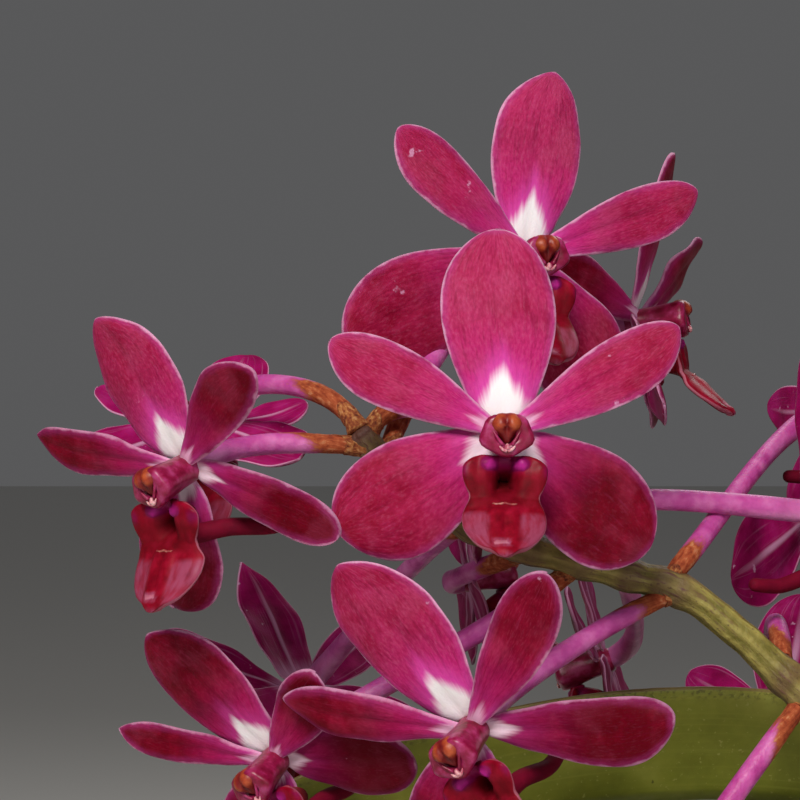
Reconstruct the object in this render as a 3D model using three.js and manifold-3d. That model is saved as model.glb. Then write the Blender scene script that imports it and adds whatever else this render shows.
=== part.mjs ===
// A potted Vandachostylis orchid in bloom: a clay pot of bark, a two-ranked leafy stem with
// thick roots, and one raceme whose flowers face every way round its stalk.
// Millimetres, +Z up. The origin is the middle of the pot's flat underside.
import * as THREE from 'three';
import { mergeVertices } from 'three/addons/utils/BufferGeometryUtils.js';
import Module from 'manifold-3d';

const wasm = await Module();
wasm.setup();

// Room that touching pieces keep between them
const GAP = 0.3;

// A cut may leave loose scraps up to this volume, which are dropped
const SCRAP = 2;

// Slivers finer than this are smoothed away after a join
const SLIVER = 0.03;

// The clay pot: a plain tapered body under a thicker rim band
const POT = {
  height: 92, baseRadius: 36, shoulderRadius: 45.5, shoulderHeight: 70,
  bandRadius: 49.5, rimRadius: 52, wall: 5, floor: 8, facets: 30,
  holes: 3, holeRadius: 5.5, holeFacets: 12, holeCircle: 19, holeTurn: 0.5,
};

// The bark that fills it, with loose chips on top. A chip is from least to least + spread of
// its full size, tilts up to half of tilt either way, and sits on the turn of a wide spiral
const BARK = {
  top: 76, chips: 24, chip: [20, 12, 5.5], least: 0.7, spread: 0.5, tilt: 0.9,
  lift: 1.5, edge: 4, spiral: 2.4, belowRim: 2, seed: 11,
};

// The stem: each leaf's sheath clasps the ones above it, and widens to a mouth that reaches
// to the leaf's side
const STEM = {
  foot: 66, sheathLength: 24, footRadius: 4.8, mouthRadius: 6.2, mouthReach: 6, flatness: 0.82,
  sides: 8, steps: 2,
};

// Leaves in two ranks. side is -1 to the left, height is where the blade leaves its sheath,
// rise and droop are the blade's slope at its base and its tip, and turn swings it round the stem
const LEAVES = [
  { name: 'leaf_left_1', side: -1, height: 99, length: 118, rise: 14, droop: -62, turn: 12 },
  { name: 'leaf_right_1', side: 1, height: 107, length: 132, rise: 20, droop: -60, turn: -10 },
  { name: 'leaf_left_2', side: -1, height: 116, length: 138, rise: 12, droop: -60, turn: 5 },
  { name: 'leaf_right_2', side: 1, height: 125, length: 146, rise: 34, droop: -56, turn: 6 },
  { name: 'leaf_left_3', side: -1, height: 129, length: 155, rise: 25, droop: -58, turn: 0 },
  { name: 'leaf_right_3', side: 1, height: 142, length: 138, rise: 50, droop: -40, turn: -6 },
  { name: 'leaf_left_4', side: -1, height: 151, length: 60, rise: 84, droop: 74, turn: 0, half: 7 },
  { name: 'leaf_right_4', side: 1, height: 158, length: 96, rise: 66, droop: 20, turn: 4, half: 12 },
];

// A leaf is baseWidth of its full width where it starts, full from wideAt on, and narrows
// from narrowAt; its wings fold up from level by baseFold, easing to fold, and the tip's two
// lobes stand out by lobe round a notch
const LEAF = {
  half: 16, thickness: 1.5, baseWidth: 0.45, wideAt: 0.42, narrowAt: 0.5, narrowOver: 0.62,
  baseFold: 72, fold: 54, flare: 0.3, lobe: 5, notch: 5, columns: 4, rows: 6,
};

// Aerial roots: the points that each passes from the middle of the stem to its tip
const ROOTS = [
  { name: 'root_1', radius: 2.4, points: [[0, 0, 96], [-12, -9, 96], [-24, -19, 88], [-30, -25, 74]] },
  { name: 'root_2', radius: 2.2, points: [[0, 0, 90], [10, -10, 90], [22, -16, 84], [27, -19, 70]] },
  {
    name: 'root_3', radius: 2.5,
    points: [[0, 0, 94], [12, 10, 97], [30, 24, 96], [46, 37, 93], [53, 43, 76], [50, 42, 56]],
  },
  { name: 'root_4', radius: 2.2, points: [[0, 0, 88], [-10, 10, 88], [-21, 18, 82], [-26, 22, 70]] },
  {
    name: 'root_5', radius: 2.3,
    points: [[0, 0, 100], [4, -13, 101], [10, -32, 98], [16, -50, 96], [19, -59, 84], [17, -60, 62]],
  },
];
const ROOT = { taper: 0.2, sides: 6, steps: 9 };

// The raceme has a frame of its own: x to the right, y away from the viewer, z up,
// with the front flower's plane at y = 0
const RACEME = [-85, -32, 182];
const STALK = {
  points: [
    [84, 27, -68], [80, 17, -62.5], [71, 13, -54], [56, 11, -42], [41.6, 12, -30.2], [35.4, 12, -24.4],
    [29.1, 12, -19.8], [19.8, 12, -17.3], [7.3, 12, -13.3], [-1.6, 12, -6.4], [-4.5, 12, -3],
  ],
  footRadius: 2.1, tipRadius: 1.3, sides: 8, steps: 22,
};

// A pedicel is thicker in its papery sheath at the foot and in the ovary behind the flower
const PEDICEL = {
  radius: 0.85, sheathRadius: 1.15, sheathEnd: 0.2, ovaryRadius: 1.15, ovaryStart: 0.75,
  sides: 5, steps: 6,
};

// Tepals of one flower, seen from its front: x right, y up, z towards the viewer.
// angle is clockwise from straight up, lift and curl bend the blade forward, cup curls its edges,
// sway bends it sideways and twist turns it about its own rib. root and set place its foot,
// whose first row is narrowed to a heel that stays inside the column
const TEPAL = { thickness: 0.8, root: 0.6, widest: 0.62, lift: 4, curl: -9, cup: -0.1, sway: 0, twist: 0 };
const TEPAL_ROWS = [0, 0.3, 0.62, 0.87, 1];
const HEEL = { half: 0.8, reach: 1.2 };
const TEPALS = {
  dorsal: { ...TEPAL, angle: 0, length: 18.6, half: 5.7, base: 2.6, set: -0.6 },
  petal_left: { ...TEPAL, angle: -62, length: 18, half: 3.3, base: 0.9, set: 0.4, widest: 0.66 },
  petal_right: { ...TEPAL, angle: 62, length: 18, half: 3.3, base: 0.9, set: 0.4, widest: 0.66 },
  sepal_left: { ...TEPAL, angle: -123, length: 17.5, half: 5.8, base: 2, set: -0.6 },
  sepal_right: { ...TEPAL, angle: 123, length: 17.5, half: 5.8, base: 2, set: -0.6 },
};

// The column and the lip, in the same frame as the tepals
const COLUMN = { back: [0, -0.3, -1.4], front: [0, -0.6, 6.2], ends: 1.9, middle: 2.3 };
const ANTHER_CAP = { radii: [1.9, 1.3, 1.2], at: [0, 0.7, 6.1] };
const LIP = {
  thickness: 0.8,
  lobe: { out: 2.5, flare: 1.2, lean: 0.8, low: -6.2, tall: 3.9, middle: 3.3, foot: 2.1, tip: 1.2 },
  tongue: { y: -5.9, z: 4.8, drop: 6.6, reach: 5, foot: 2.4, half: 4.1, sag: -0.06, thickness: 0.9 },
  // The floor runs forward from a claw under the column, as forward and height pairs
  floor: [[1, -3.1], [1, -6.7], [5.4, -6.7], [5.4, -5.7], [2.6, -5.7], [2.6, -3.1]],
  floorWidth: 5,
};

// The spur's line behind the lip, as height and forward pairs
const SPUR = {
  mouth: [-6, 2.4], bend: [-7, -1], knee: [-8.6, -5], tip: [-8.6, -9], radius: 1.05, tipRadius: 0.75,
};

// Each flower's place in the raceme, the way it faces (yaw to the right, pitch up, roll
// clockwise), its size, the point of the stalk that it grows from, as a count of the stalk's
// points, the way its pedicel sets out, what sets its tepals apart, and how far its lip is
// turned and its spur leans aside
const FLOWERS = [
  {
    at: [10.4, 0, -3.4], yaw: 1, pitch: 3, roll: -1, size: 1, stalk: 9.6, out: [2, 4, 8],
    tepals: {
      dorsal: { angle: -2 }, petal_left: { angle: -63 }, petal_right: { angle: 63, length: 18.8 },
      sepal_right: { angle: 129, length: 16.8 },
    },
  },
  {
    at: [14.2, 25, 16.6], yaw: 22, pitch: 2, roll: -2, size: 1, stalk: 9, out: [2, 8, 8],
    lipSway: -8, spurLean: -2.4,
    tepals: {
      dorsal: { angle: 11, length: 17.8, half: 4.8 }, petal_left: { angle: -50, length: 17.2 },
      petal_right: { angle: 75, length: 19, half: 3 }, sepal_left: { angle: -114, length: 20.5 },
      sepal_right: { angle: 150, length: 17.5 },
    },
  },
  {
    at: [-22, 5, -6.8], yaw: -40, pitch: -20, roll: -14, size: 0.97, stalk: 9.4, out: [-9, 0, 1],
    lipSway: -12, spurLean: 6,
    tepals: {
      dorsal: { angle: -8, length: 16.8, half: 5.6 }, petal_left: { angle: -69, length: 18.5, half: 2.6 },
      petal_right: { angle: 59, length: 16.5 }, sepal_left: { angle: -142, length: 16.5 },
      sepal_right: { angle: 123, length: 18.5, half: 3.4, sway: 6, twist: 20 },
    },
  },
  {
    at: [7, -3, -32.6], yaw: -25, pitch: -24, roll: -28, size: 1, stalk: 6, out: [-8, -2, -3],
    spurLean: 1.4,
    tepals: {
      dorsal: { angle: -8, length: 18 }, petal_left: { angle: -60, length: 18.5 },
      petal_right: { angle: 62, length: 18.5 }, sepal_left: { angle: -135 },
      sepal_right: { angle: 117, length: 19.5, half: 3.9, twist: 20 },
    },
  },
  {
    at: [-13.2, 12, -37.3], yaw: -30, pitch: -28, roll: -32, size: 0.94, stalk: 7.1, out: [-6, 2, -6],
    spurLean: 1,
    tepals: {
      dorsal: { angle: -10, length: 17 }, petal_left: { angle: -56, length: 17.5, half: 2.4, twist: -20 },
      petal_right: { angle: 72, length: 13 }, sepal_left: { angle: -128, length: 14, lift: 14 },
      sepal_right: { angle: 122, length: 16, half: 4.5 },
    },
  },
  {
    at: [-11.9, 56, -34.9], yaw: -140, pitch: -36, roll: 0, size: 0.95, stalk: 8, out: [-2, 8, 2],
    tepals: { dorsal: { length: 17.5, half: 4.2 }, sepal_right: { length: 13 } },
  },
  {
    at: [27.2, 43, 9.1], yaw: 78, pitch: 6, roll: 0, size: 0.97, stalk: 8.5, out: [3, 8, 4],
    tepals: {
      dorsal: { lift: 18 }, petal_left: { lift: -26, length: 15 },
      petal_right: { lift: 22 }, sepal_left: { lift: 18 },
    },
  },
  {
    at: [45.3, 22, -12], yaw: 115, pitch: -4, roll: 0, size: 0.95, stalk: 7.6, out: [3, 1, 8],
    tepals: { petal_right: { length: 14, lift: 26 } },
  },
  { at: [50.2, 45, -1.4], yaw: 108, pitch: 0, roll: 28, size: 0.95, stalk: 6.2, out: [5, -1, 5] },
  { at: [24, 58, -31], yaw: -98, pitch: -16, roll: 0, size: 0.95, stalk: 6.6, out: [-1, 9, 1] },
  {
    at: [46, 60, -39], yaw: 160, pitch: -42, roll: 0, size: 0.95, stalk: 4.2, out: [0, 16, 13],
    tepals: { petal_right: { length: 14 } },
  },
  { at: [22, -4, -59], yaw: 10, pitch: -16, roll: 6, size: 1, stalk: 3.95, out: [-6, -6, -7] },
  { at: [8, 30, -19.5], yaw: 96, pitch: 11, roll: 1, size: 0.81, stalk: 7.5, out: [-1, 8, -1] },
  { at: [64, -2, -27], yaw: 40, pitch: -8, roll: 0, size: 1, stalk: 3.3, out: [3, -4, 5] },
  {
    at: [-20.4, 27, -3], yaw: 166, pitch: -60, roll: 0, size: 0.85, stalk: 9.9, out: [-3, 3, 7],
    tepals: { petal_left: { length: 12 } },
  },
];

const CLAY = new THREE.MeshStandardMaterial({ color: '#b3603c', roughness: 0.9, metalness: 0 });
const BARK_BROWN = new THREE.MeshStandardMaterial({ color: '#5a3a26', roughness: 0.95, metalness: 0 });
const SHEATH_GREEN = new THREE.MeshStandardMaterial({ color: '#7d8144', roughness: 0.6, metalness: 0 });
const LEAF_GREEN = new THREE.MeshStandardMaterial({ color: '#5a6a24', roughness: 0.5, metalness: 0 });
const STALK_GREEN = new THREE.MeshStandardMaterial({ color: '#77783a', roughness: 0.6, metalness: 0 });
const ROOT_GREY = new THREE.MeshStandardMaterial({ color: '#b9b7a4', roughness: 0.85, metalness: 0 });
const TEPAL_ROSE = new THREE.MeshStandardMaterial({ color: '#a3184c', roughness: 0.55, metalness: 0 });
const LIP_RED = new THREE.MeshStandardMaterial({ color: '#74081f', roughness: 0.5, metalness: 0 });

const vec = (x, y, z) => new THREE.Vector3(x, y, z);
const rad = THREE.MathUtils.degToRad;
const mix = THREE.MathUtils.lerp;

// A seeded draw from 0 to 1, the same on every run
function draws(seed) {
  let state = seed;
  return () => {
    state = (state * 1103515245 + 12345) % 2147483648;
    return state / 2147483648;
  };
}

// A closed geometry as a solid that can be joined and cut
function solid(geometry) {
  const bare = new THREE.BufferGeometry().setAttribute('position', geometry.getAttribute('position'));
  bare.setIndex(geometry.index);
  const merged = mergeVertices(bare, 1e-4);
  const corners = merged.index.array;
  const faces = [];
  for (let i = 0; i < corners.length; i += 3) {
    const [a, b, c] = [corners[i], corners[i + 1], corners[i + 2]];
    if (a !== b && b !== c && c !== a) faces.push(a, b, c);
  }
  return new wasm.Manifold(new wasm.Mesh({
    numProp: 3,
    vertProperties: merged.attributes.position.array,
    triVerts: new Uint32Array(faces),
  }));
}

// A solid as a named mesh, without the loose scraps that a cut leaves
function node(name, body, material) {
  const [largest, scrap] = body.decompose().sort((a, b) => b.volume() - a.volume());
  if (scrap && scrap.volume() > SCRAP) throw new Error(`${name} falls apart`);
  const cut = largest.simplify(SLIVER).getMesh();
  const geometry = new THREE.BufferGeometry();
  geometry.setAttribute('position', new THREE.BufferAttribute(Float32Array.from(cut.vertProperties), 3));
  geometry.setIndex(new THREE.BufferAttribute(Uint32Array.from(cut.triVerts), 1));
  const mesh = new THREE.Mesh(geometry, material);
  mesh.name = name;
  return mesh;
}

const joined = (bodies) => bodies.reduce((sum, body) => sum.add(body));

// A shape of revolution about +Z, from its radius and height pairs
function turned(profile, facets) {
  const points = profile.map(([radius, height]) => new THREE.Vector2(radius, height));
  return solid(new THREE.LatheGeometry(points, facets).rotateX(Math.PI / 2));
}

// A round rod that follows a curve, with its radius set along the way
function rod(curve, radiusAt, sides, steps, flatness = 1) {
  const geometry = new THREE.CylinderGeometry(1, 1, 1, sides, steps);
  const spots = geometry.attributes.position;
  const frames = curve.computeFrenetFrames(steps);
  for (let i = 0; i < spots.count; i += 1) {
    const along = spots.getY(i) + 0.5;
    const step = Math.round(along * steps);
    const radius = radiusAt(along);
    const spot = curve.getPointAt(along)
      .addScaledVector(frames.normals[step], spots.getX(i) * radius)
      .addScaledVector(frames.binormals[step], -spots.getZ(i) * radius);
    spots.setXYZ(i, spot.x, spot.y * flatness, spot.z);
  }
  return solid(geometry);
}

// A thin blade: a flat grid bent by place(across, along), doubled a thickness apart and
// sewn round its border, with the same diagonals on both faces
function blade(place, thickness, columns, rows) {
  const grid = new THREE.PlaneGeometry(2, 1, columns, rows);
  const flat = grid.attributes.position;
  const skin = flat.count;
  const spots = [];
  for (const side of [0.5, -0.5]) {
    for (let i = 0; i < skin; i += 1) {
      const { point, normal } = place(flat.getX(i), flat.getY(i) + 0.5);
      point.addScaledVector(normal, side * thickness);
      spots.push(point.x, point.y, point.z);
    }
  }
  const faces = Array.from(grid.index.array);
  for (let i = 0; i < grid.index.count; i += 3) {
    faces.push(faces[i] + skin, faces[i + 2] + skin, faces[i + 1] + skin);
  }
  const width = columns + 1;
  const border = [];
  for (let i = 0; i < columns; i += 1) border.push(i);
  for (let j = 0; j < rows; j += 1) border.push(columns + j * width);
  for (let i = columns; i > 0; i -= 1) border.push(rows * width + i);
  for (let j = rows; j > 0; j -= 1) border.push(j * width);
  border.forEach((a, i) => {
    const b = border[(i + 1) % border.length];
    faces.push(a, b, b + skin, a, b + skin, a + skin);
  });
  const geometry = new THREE.BufferGeometry();
  geometry.setAttribute('position', new THREE.Float32BufferAttribute(spots, 3));
  geometry.setIndex(faces);
  return solid(geometry);
}

function curveThrough(points) {
  return new THREE.CatmullRomCurve3(points.map(([x, y, z]) => vec(x, y, z)), false, 'centripetal');
}

// The pot's wall as radius and height pairs, set in from the outside by a distance
function potWall(inset) {
  return [
    [POT.baseRadius - inset, 0],
    [POT.shoulderRadius - inset, POT.shoulderHeight],
    [POT.rimRadius - inset, POT.height],
  ];
}

function makePot() {
  const [inFoot, inShoulder, inRim] = potWall(POT.wall);
  const floorRadius = mix(inFoot[0], inShoulder[0], POT.floor / POT.shoulderHeight);
  let body = turned([
    [0, 0], [POT.baseRadius, 0], [POT.shoulderRadius, POT.shoulderHeight],
    [POT.bandRadius, POT.shoulderHeight], [POT.rimRadius, POT.height],
    [inRim[0], POT.height], inShoulder, [floorRadius, POT.floor], [0, POT.floor],
  ], POT.facets);
  const drill = new THREE.CylinderGeometry(POT.holeRadius, POT.holeRadius, POT.floor * 3, POT.holeFacets)
    .rotateX(Math.PI / 2);
  for (let i = 0; i < POT.holes; i += 1) {
    const angle = (i / POT.holes) * Math.PI * 2 + POT.holeTurn;
    const place = [POT.holeCircle * Math.cos(angle), POT.holeCircle * Math.sin(angle), 0];
    body = body.subtract(solid(drill.clone().translate(...place)));
  }
  return node('pot', body, CLAY);
}

// The space inside the pot, a gap clear of its wall and floor
function potRoom(top) {
  const [foot, shoulder, rim] = potWall(POT.wall + GAP);
  const low = POT.floor + GAP;
  const lowRadius = mix(foot[0], shoulder[0], low / POT.shoulderHeight);
  const topRadius = mix(shoulder[0], rim[0], (top - POT.shoulderHeight) / (POT.height - POT.shoulderHeight));
  return turned([[0, low], [lowRadius, low], shoulder, [topRadius, top], [0, top]], POT.facets);
}

function makeBark(holes) {
  const draw = draws(BARK.seed);
  const chips = [];
  const [long, wide, thick] = BARK.chip;
  for (let i = 0; i < BARK.chips; i += 1) {
    const size = BARK.least + BARK.spread * draw();
    const chip = new THREE.BoxGeometry(long * size, wide * size, thick * size);
    chip.rotateX(BARK.tilt * (draw() - 0.5));
    chip.rotateY(BARK.tilt * (draw() - 0.5));
    chip.rotateZ(Math.PI * draw());
    // Chips wind out from the middle at even spacing, as seeds do on a disc
    const reach = POT.shoulderRadius * Math.sqrt((i + 0.5) / BARK.chips) - BARK.edge;
    const angle = i * BARK.spiral;
    const height = BARK.top + BARK.lift * (draw() - 0.4);
    chip.translate(reach * Math.cos(angle), reach * Math.sin(angle), height);
    chips.push(solid(chip));
  }
  const heap = joined(chips).add(potRoom(BARK.top)).intersect(potRoom(POT.height - BARK.belowRim));
  return node('bark_bed', heap.subtract(holes), BARK_BROWN);
}

// The stem as the union of its leaf sheaths, grown by a clearance
function stemBody(clearance) {
  const sheaths = LEAVES.map((leaf) => {
    const mouth = vec(leaf.side * STEM.mouthReach, 0, leaf.height);
    const low = vec(0, 0, leaf.height - STEM.sheathLength);
    const bend = vec(0, 0, leaf.height - STEM.mouthReach);
    const line = new THREE.QuadraticBezierCurve3(low, bend, mouth);
    const radiusAt = (u) => mix(STEM.footRadius, STEM.mouthRadius, u) + clearance;
    return rod(line, radiusAt, STEM.sides, STEM.steps, STEM.flatness);
  });
  const footTop = LEAVES[0].height - STEM.mouthReach;
  const foot = new THREE.LineCurve3(vec(0, 0, STEM.foot - clearance), vec(0, 0, footTop));
  const footRod = rod(foot, () => STEM.footRadius + clearance, STEM.sides, STEM.steps, STEM.flatness);
  return joined([...sheaths, footRod]);
}

// One strap leaf: a V-shaped channel that arches along a line of even curvature to an
// unequally two-lobed tip
function leafBody(leaf) {
  const start = vec(leaf.side * (STEM.mouthReach - 1), 0, leaf.height);
  const turn = rad(leaf.turn);
  const outward = vec(leaf.side * Math.cos(turn), leaf.side * Math.sin(turn), 0);
  const sideways = outward.clone().cross(vec(0, 0, 1));
  const bend = rad(leaf.droop - leaf.rise);
  const radius = leaf.length / bend;
  const place = (across, along) => {
    const lobe = across === 0 ? -LEAF.notch : LEAF.lobe * Math.sign(across) * (1 - Math.abs(across));
    const distance = along + (lobe / leaf.length) * along ** 6;
    const slope = rad(leaf.rise) + bend * distance;
    const run = radius * (Math.sin(slope) - Math.sin(rad(leaf.rise)));
    const climb = radius * (Math.cos(rad(leaf.rise)) - Math.cos(slope));
    const heading = outward.clone().multiplyScalar(Math.cos(slope)).add(vec(0, 0, Math.sin(slope)));
    const above = sideways.clone().cross(heading);
    const widen = Math.sin((Math.PI / 2) * Math.min(1, along / LEAF.wideAt));
    const taper = Math.sqrt(1 - (Math.max(0, along - LEAF.narrowAt) / LEAF.narrowOver) ** 2.4);
    const half = mix(LEAF.baseWidth, 1, widen) * (leaf.half ?? LEAF.half) * taper;
    const fold = rad(mix(LEAF.baseFold, LEAF.fold, widen)) * (1 - LEAF.flare * Math.abs(across) * along);
    const point = start.clone()
      .addScaledVector(outward, run)
      .addScaledVector(vec(0, 0, 1), climb)
      .addScaledVector(sideways, half * across * Math.cos(fold))
      .addScaledVector(above, half * Math.abs(across) * Math.sin(fold));
    // The keel is deep enough to keep the folded wings at their full thickness
    const keel = Math.min(2, 1 / Math.cos(fold));
    const normal = across === 0 ? above.multiplyScalar(keel) : above.multiplyScalar(Math.cos(fold))
      .addScaledVector(sideways, -Math.sign(across) * Math.sin(fold));
    return { point, normal };
  };
  return blade(place, LEAF.thickness, LEAF.columns, LEAF.rows);
}

// The stalk's line, even in its count of points, as the flowers are placed along it
const stalkCurve = new THREE.CatmullRomCurve3(STALK.points.map(([x, y, z]) => vec(x, y, z)));

function stalkBody(clearance) {
  const radiusAt = (u) => mix(STALK.footRadius, STALK.tipRadius, u) + clearance;
  return rod(stalkCurve, radiusAt, STALK.sides, STALK.steps);
}

// A flower's own frame in the raceme: where it sits, the way it faces, and its size
function flowerMatrix({ at, yaw, pitch, roll, size }) {
  const [y, p] = [rad(yaw), rad(pitch)];
  const forward = vec(Math.sin(y) * Math.cos(p), -Math.cos(y) * Math.cos(p), Math.sin(p));
  const level = vec(Math.cos(y), Math.sin(y), 0);
  const right = level.applyAxisAngle(forward, -rad(roll));
  const up = forward.clone().cross(right);
  return new THREE.Matrix4().makeBasis(right, up, forward)
    .scale(vec(size, size, size)).setPosition(...at);
}

// A tepal swells from its base to its widest row and rounds off to its tip
function tepalHalfWidth(tepal, along) {
  if (along < tepal.widest) {
    const swell = Math.sin((Math.PI / 2) * (along / tepal.widest)) ** 1.4;
    return mix(tepal.base, tepal.half, swell);
  }
  return tepal.half * Math.sqrt(Math.max(0, 1 - ((along - tepal.widest) / (1 - tepal.widest)) ** 2.3));
}

function tepalBody(tepal) {
  const place = (across, row) => {
    const along = TEPAL_ROWS[Math.round(row * (TEPAL_ROWS.length - 1))];
    const lean = rad(tepal.angle);
    const [angle, halfAngle] = [lean + rad(tepal.sway) * along, lean + rad(tepal.sway) * along / 2];
    const lift = rad(tepal.lift + tepal.curl * along);
    const halfLift = rad(tepal.lift + tepal.curl * along / 2);
    const reach = (tepal.length + HEEL.reach) * along;
    const flat = reach * Math.cos(halfLift);
    const rib = vec(
      tepal.root * Math.sin(lean) + flat * Math.sin(halfAngle),
      tepal.root * Math.cos(lean) + flat * Math.cos(halfAngle),
      tepal.set + reach * Math.sin(halfLift),
    );
    const ahead = vec(Math.sin(angle) * Math.cos(lift), Math.cos(angle) * Math.cos(lift), Math.sin(lift));
    const aside = vec(Math.cos(angle), -Math.sin(angle), 0).applyAxisAngle(ahead, -rad(tepal.twist) * along);
    const normal = aside.clone().cross(ahead);
    const half = row === 0 ? HEEL.half : tepalHalfWidth(tepal, along);
    const point = rib.addScaledVector(aside, half * across)
      .addScaledVector(normal, tepal.cup * half * across * across);
    return { point, normal };
  };
  return blade(place, tepal.thickness, 2, TEPAL_ROWS.length - 1);
}

// The column: a stout barrel with the anther cap at the top of its front
function columnBody() {
  const axis = new THREE.LineCurve3(vec(...COLUMN.back), vec(...COLUMN.front));
  const barrel = rod(axis, (u) => mix(COLUMN.ends, COLUMN.middle, Math.sin(Math.PI * u)), 6, 2);
  const cap = new THREE.SphereGeometry(1, 5, 3).scale(...ANTHER_CAP.radii).translate(...ANTHER_CAP.at);
  return barrel.add(solid(cap));
}

// One flower without its lip: five tepals and the column on their pedicel
function bloomBody(flower, stalkRoom) {
  const frame = flowerMatrix(flower);
  const tepals = Object.entries(TEPALS)
    .map(([name, tepal]) => tepalBody({ ...tepal, ...flower.tepals?.[name] }));
  const head = joined([...tepals, columnBody()]).transform(frame.elements);
  const root = stalkCurve.getPoint(flower.stalk / (STALK.points.length - 1));
  const back = vec(0, -0.2, -0.8).applyMatrix4(frame);
  const behind = vec(0, -0.2, -8).applyMatrix4(frame);
  const line = new THREE.CubicBezierCurve3(root, root.clone().add(vec(...flower.out)), behind, back);
  const radiusAt = (u) => {
    if (u < PEDICEL.sheathEnd) return PEDICEL.sheathRadius;
    return u > PEDICEL.ovaryStart ? PEDICEL.ovaryRadius : PEDICEL.radius;
  };
  return head.add(rod(line, radiusAt, PEDICEL.sides, PEDICEL.steps)).subtract(stalkRoom);
}

// An upright side lobe of the lip, on the right for a side of 1
function lobeBody(side) {
  const { out, flare, lean, low, tall, middle, foot, tip } = LIP.lobe;
  const normal = vec(-side, 0.3, 0.4).normalize();
  const place = (across, row) => {
    const depth = side * across * mix(foot, tip, row * row);
    const spread = side * (out + flare * row) + lean * across;
    return { point: vec(spread, low + tall * row, middle + depth), normal };
  };
  return blade(place, LIP.thickness, 1, 2);
}

// The lip's round tongue, which reaches forward and down and sags at its edges
function tongueBody() {
  const { y, z, drop, reach, foot, half, sag, thickness } = LIP.tongue;
  const normal = vec(0, reach, drop).normalize();
  const place = (across, row) => {
    const along = 1 - (1 - row) ** 1.6;
    const widen = Math.sin((Math.PI / 2) * Math.min(1, along / 0.7));
    const round = Math.sqrt(Math.max(0.02, 1 - Math.max(0, (along - 0.6) / 0.42) ** 2.2));
    const width = mix(foot, half, widen) * round * across;
    const point = vec(-width, y - drop * along, z + reach * along);
    return { point: point.addScaledVector(normal, sag * width * width), normal };
  };
  return blade(place, thickness, 4, 3);
}

// The lip: its lobes and tongue on a short floor, with a slim spur behind that may lean aside
function lipBody(spurLean) {
  const section = new THREE.Shape(LIP.floor.map(([forward, height]) => new THREE.Vector2(forward, height)));
  const floor = new THREE.ExtrudeGeometry(section, { depth: LIP.floorWidth, bevelEnabled: false })
    .rotateY(-Math.PI / 2).translate(LIP.floorWidth / 2, 0, 0);
  const { mouth, bend, knee, tip, radius, tipRadius } = SPUR;
  const stops = [[0, ...mouth], [spurLean / 2, ...bend], [spurLean, ...knee], [spurLean, ...tip]];
  const spur = rod(curveThrough(stops), (u) => mix(radius, tipRadius, u), 5, 3);
  return joined([lobeBody(1), lobeBody(-1), tongueBody(), solid(floor), spur]);
}

// The stalk with its flowers, each with a lip of its own
function makeRaceme() {
  const raceme = new THREE.Group();
  raceme.position.set(...RACEME);
  const stalkRoom = stalkBody(GAP);
  const stemRoom = stemBody(GAP).translate(-RACEME[0], -RACEME[1], -RACEME[2]);
  raceme.add(node('flower_stalk', stalkBody(0).subtract(stemRoom), STALK_GREEN));
  FLOWERS.forEach((flower, i) => {
    const number = String(i + 1).padStart(2, '0');
    raceme.add(node(`bloom_${number}`, bloomBody(flower, stalkRoom), TEPAL_ROSE));
    const lip = node(`lip_${number}`, lipBody(flower.spurLean ?? 0), LIP_RED);
    const sway = new THREE.Matrix4().makeRotationZ(rad(flower.lipSway ?? 0));
    flowerMatrix(flower).multiply(sway).decompose(lip.position, lip.quaternion, lip.scale);
    raceme.add(lip);
  });
  return raceme;
}

// The stem with its leaves and roots, and the bark that they grow in
function makePlant() {
  const plant = new THREE.Group();
  const stemRoom = stemBody(GAP);
  plant.add(node('stem', stemBody(0), SHEATH_GREEN));
  for (const leaf of LEAVES) plant.add(node(leaf.name, leafBody(leaf).subtract(stemRoom), LEAF_GREEN));
  const rootHoles = [];
  for (const root of ROOTS) {
    const line = curveThrough(root.points);
    const radiusAt = (u) => root.radius * (1 - ROOT.taper * u);
    const body = rod(line, radiusAt, ROOT.sides, ROOT.steps);
    plant.add(node(root.name, body.subtract(stemRoom), ROOT_GREY));
    rootHoles.push(rod(line, (u) => radiusAt(u) + GAP, ROOT.sides, ROOT.steps));
  }
  plant.add(makeBark(joined([stemRoom, ...rootHoles])));
  return plant;
}

const orchid = new THREE.Group();
orchid.add(makePot(), makePlant(), makeRaceme());

export default orchid;
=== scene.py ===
# A potted orchid in bloom, dressed for its picture: fine petals, lips, leaves, roots, bark
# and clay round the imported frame, with their finishes, the camera and the light.
# Shapes are drawn in millimetres and turned to metres as each piece is made.
import math
import random

import bmesh
import bpy
from mathutils import Matrix, Quaternion, Vector, noise


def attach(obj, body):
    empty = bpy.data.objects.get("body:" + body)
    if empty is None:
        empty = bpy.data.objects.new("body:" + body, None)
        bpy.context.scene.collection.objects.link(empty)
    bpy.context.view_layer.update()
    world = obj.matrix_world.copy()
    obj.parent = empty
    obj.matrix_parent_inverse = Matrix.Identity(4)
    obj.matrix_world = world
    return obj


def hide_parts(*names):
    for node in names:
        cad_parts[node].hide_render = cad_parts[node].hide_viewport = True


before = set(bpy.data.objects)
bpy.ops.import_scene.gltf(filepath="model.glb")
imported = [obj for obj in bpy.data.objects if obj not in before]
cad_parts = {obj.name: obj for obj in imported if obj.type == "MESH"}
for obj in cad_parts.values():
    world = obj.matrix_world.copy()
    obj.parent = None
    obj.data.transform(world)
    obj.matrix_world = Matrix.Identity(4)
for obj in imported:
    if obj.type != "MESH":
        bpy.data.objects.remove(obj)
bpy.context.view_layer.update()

MM = 0.001
# Vertices this near to each other, in millimetres, are one
WELD = 0.003

# The camera

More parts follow.
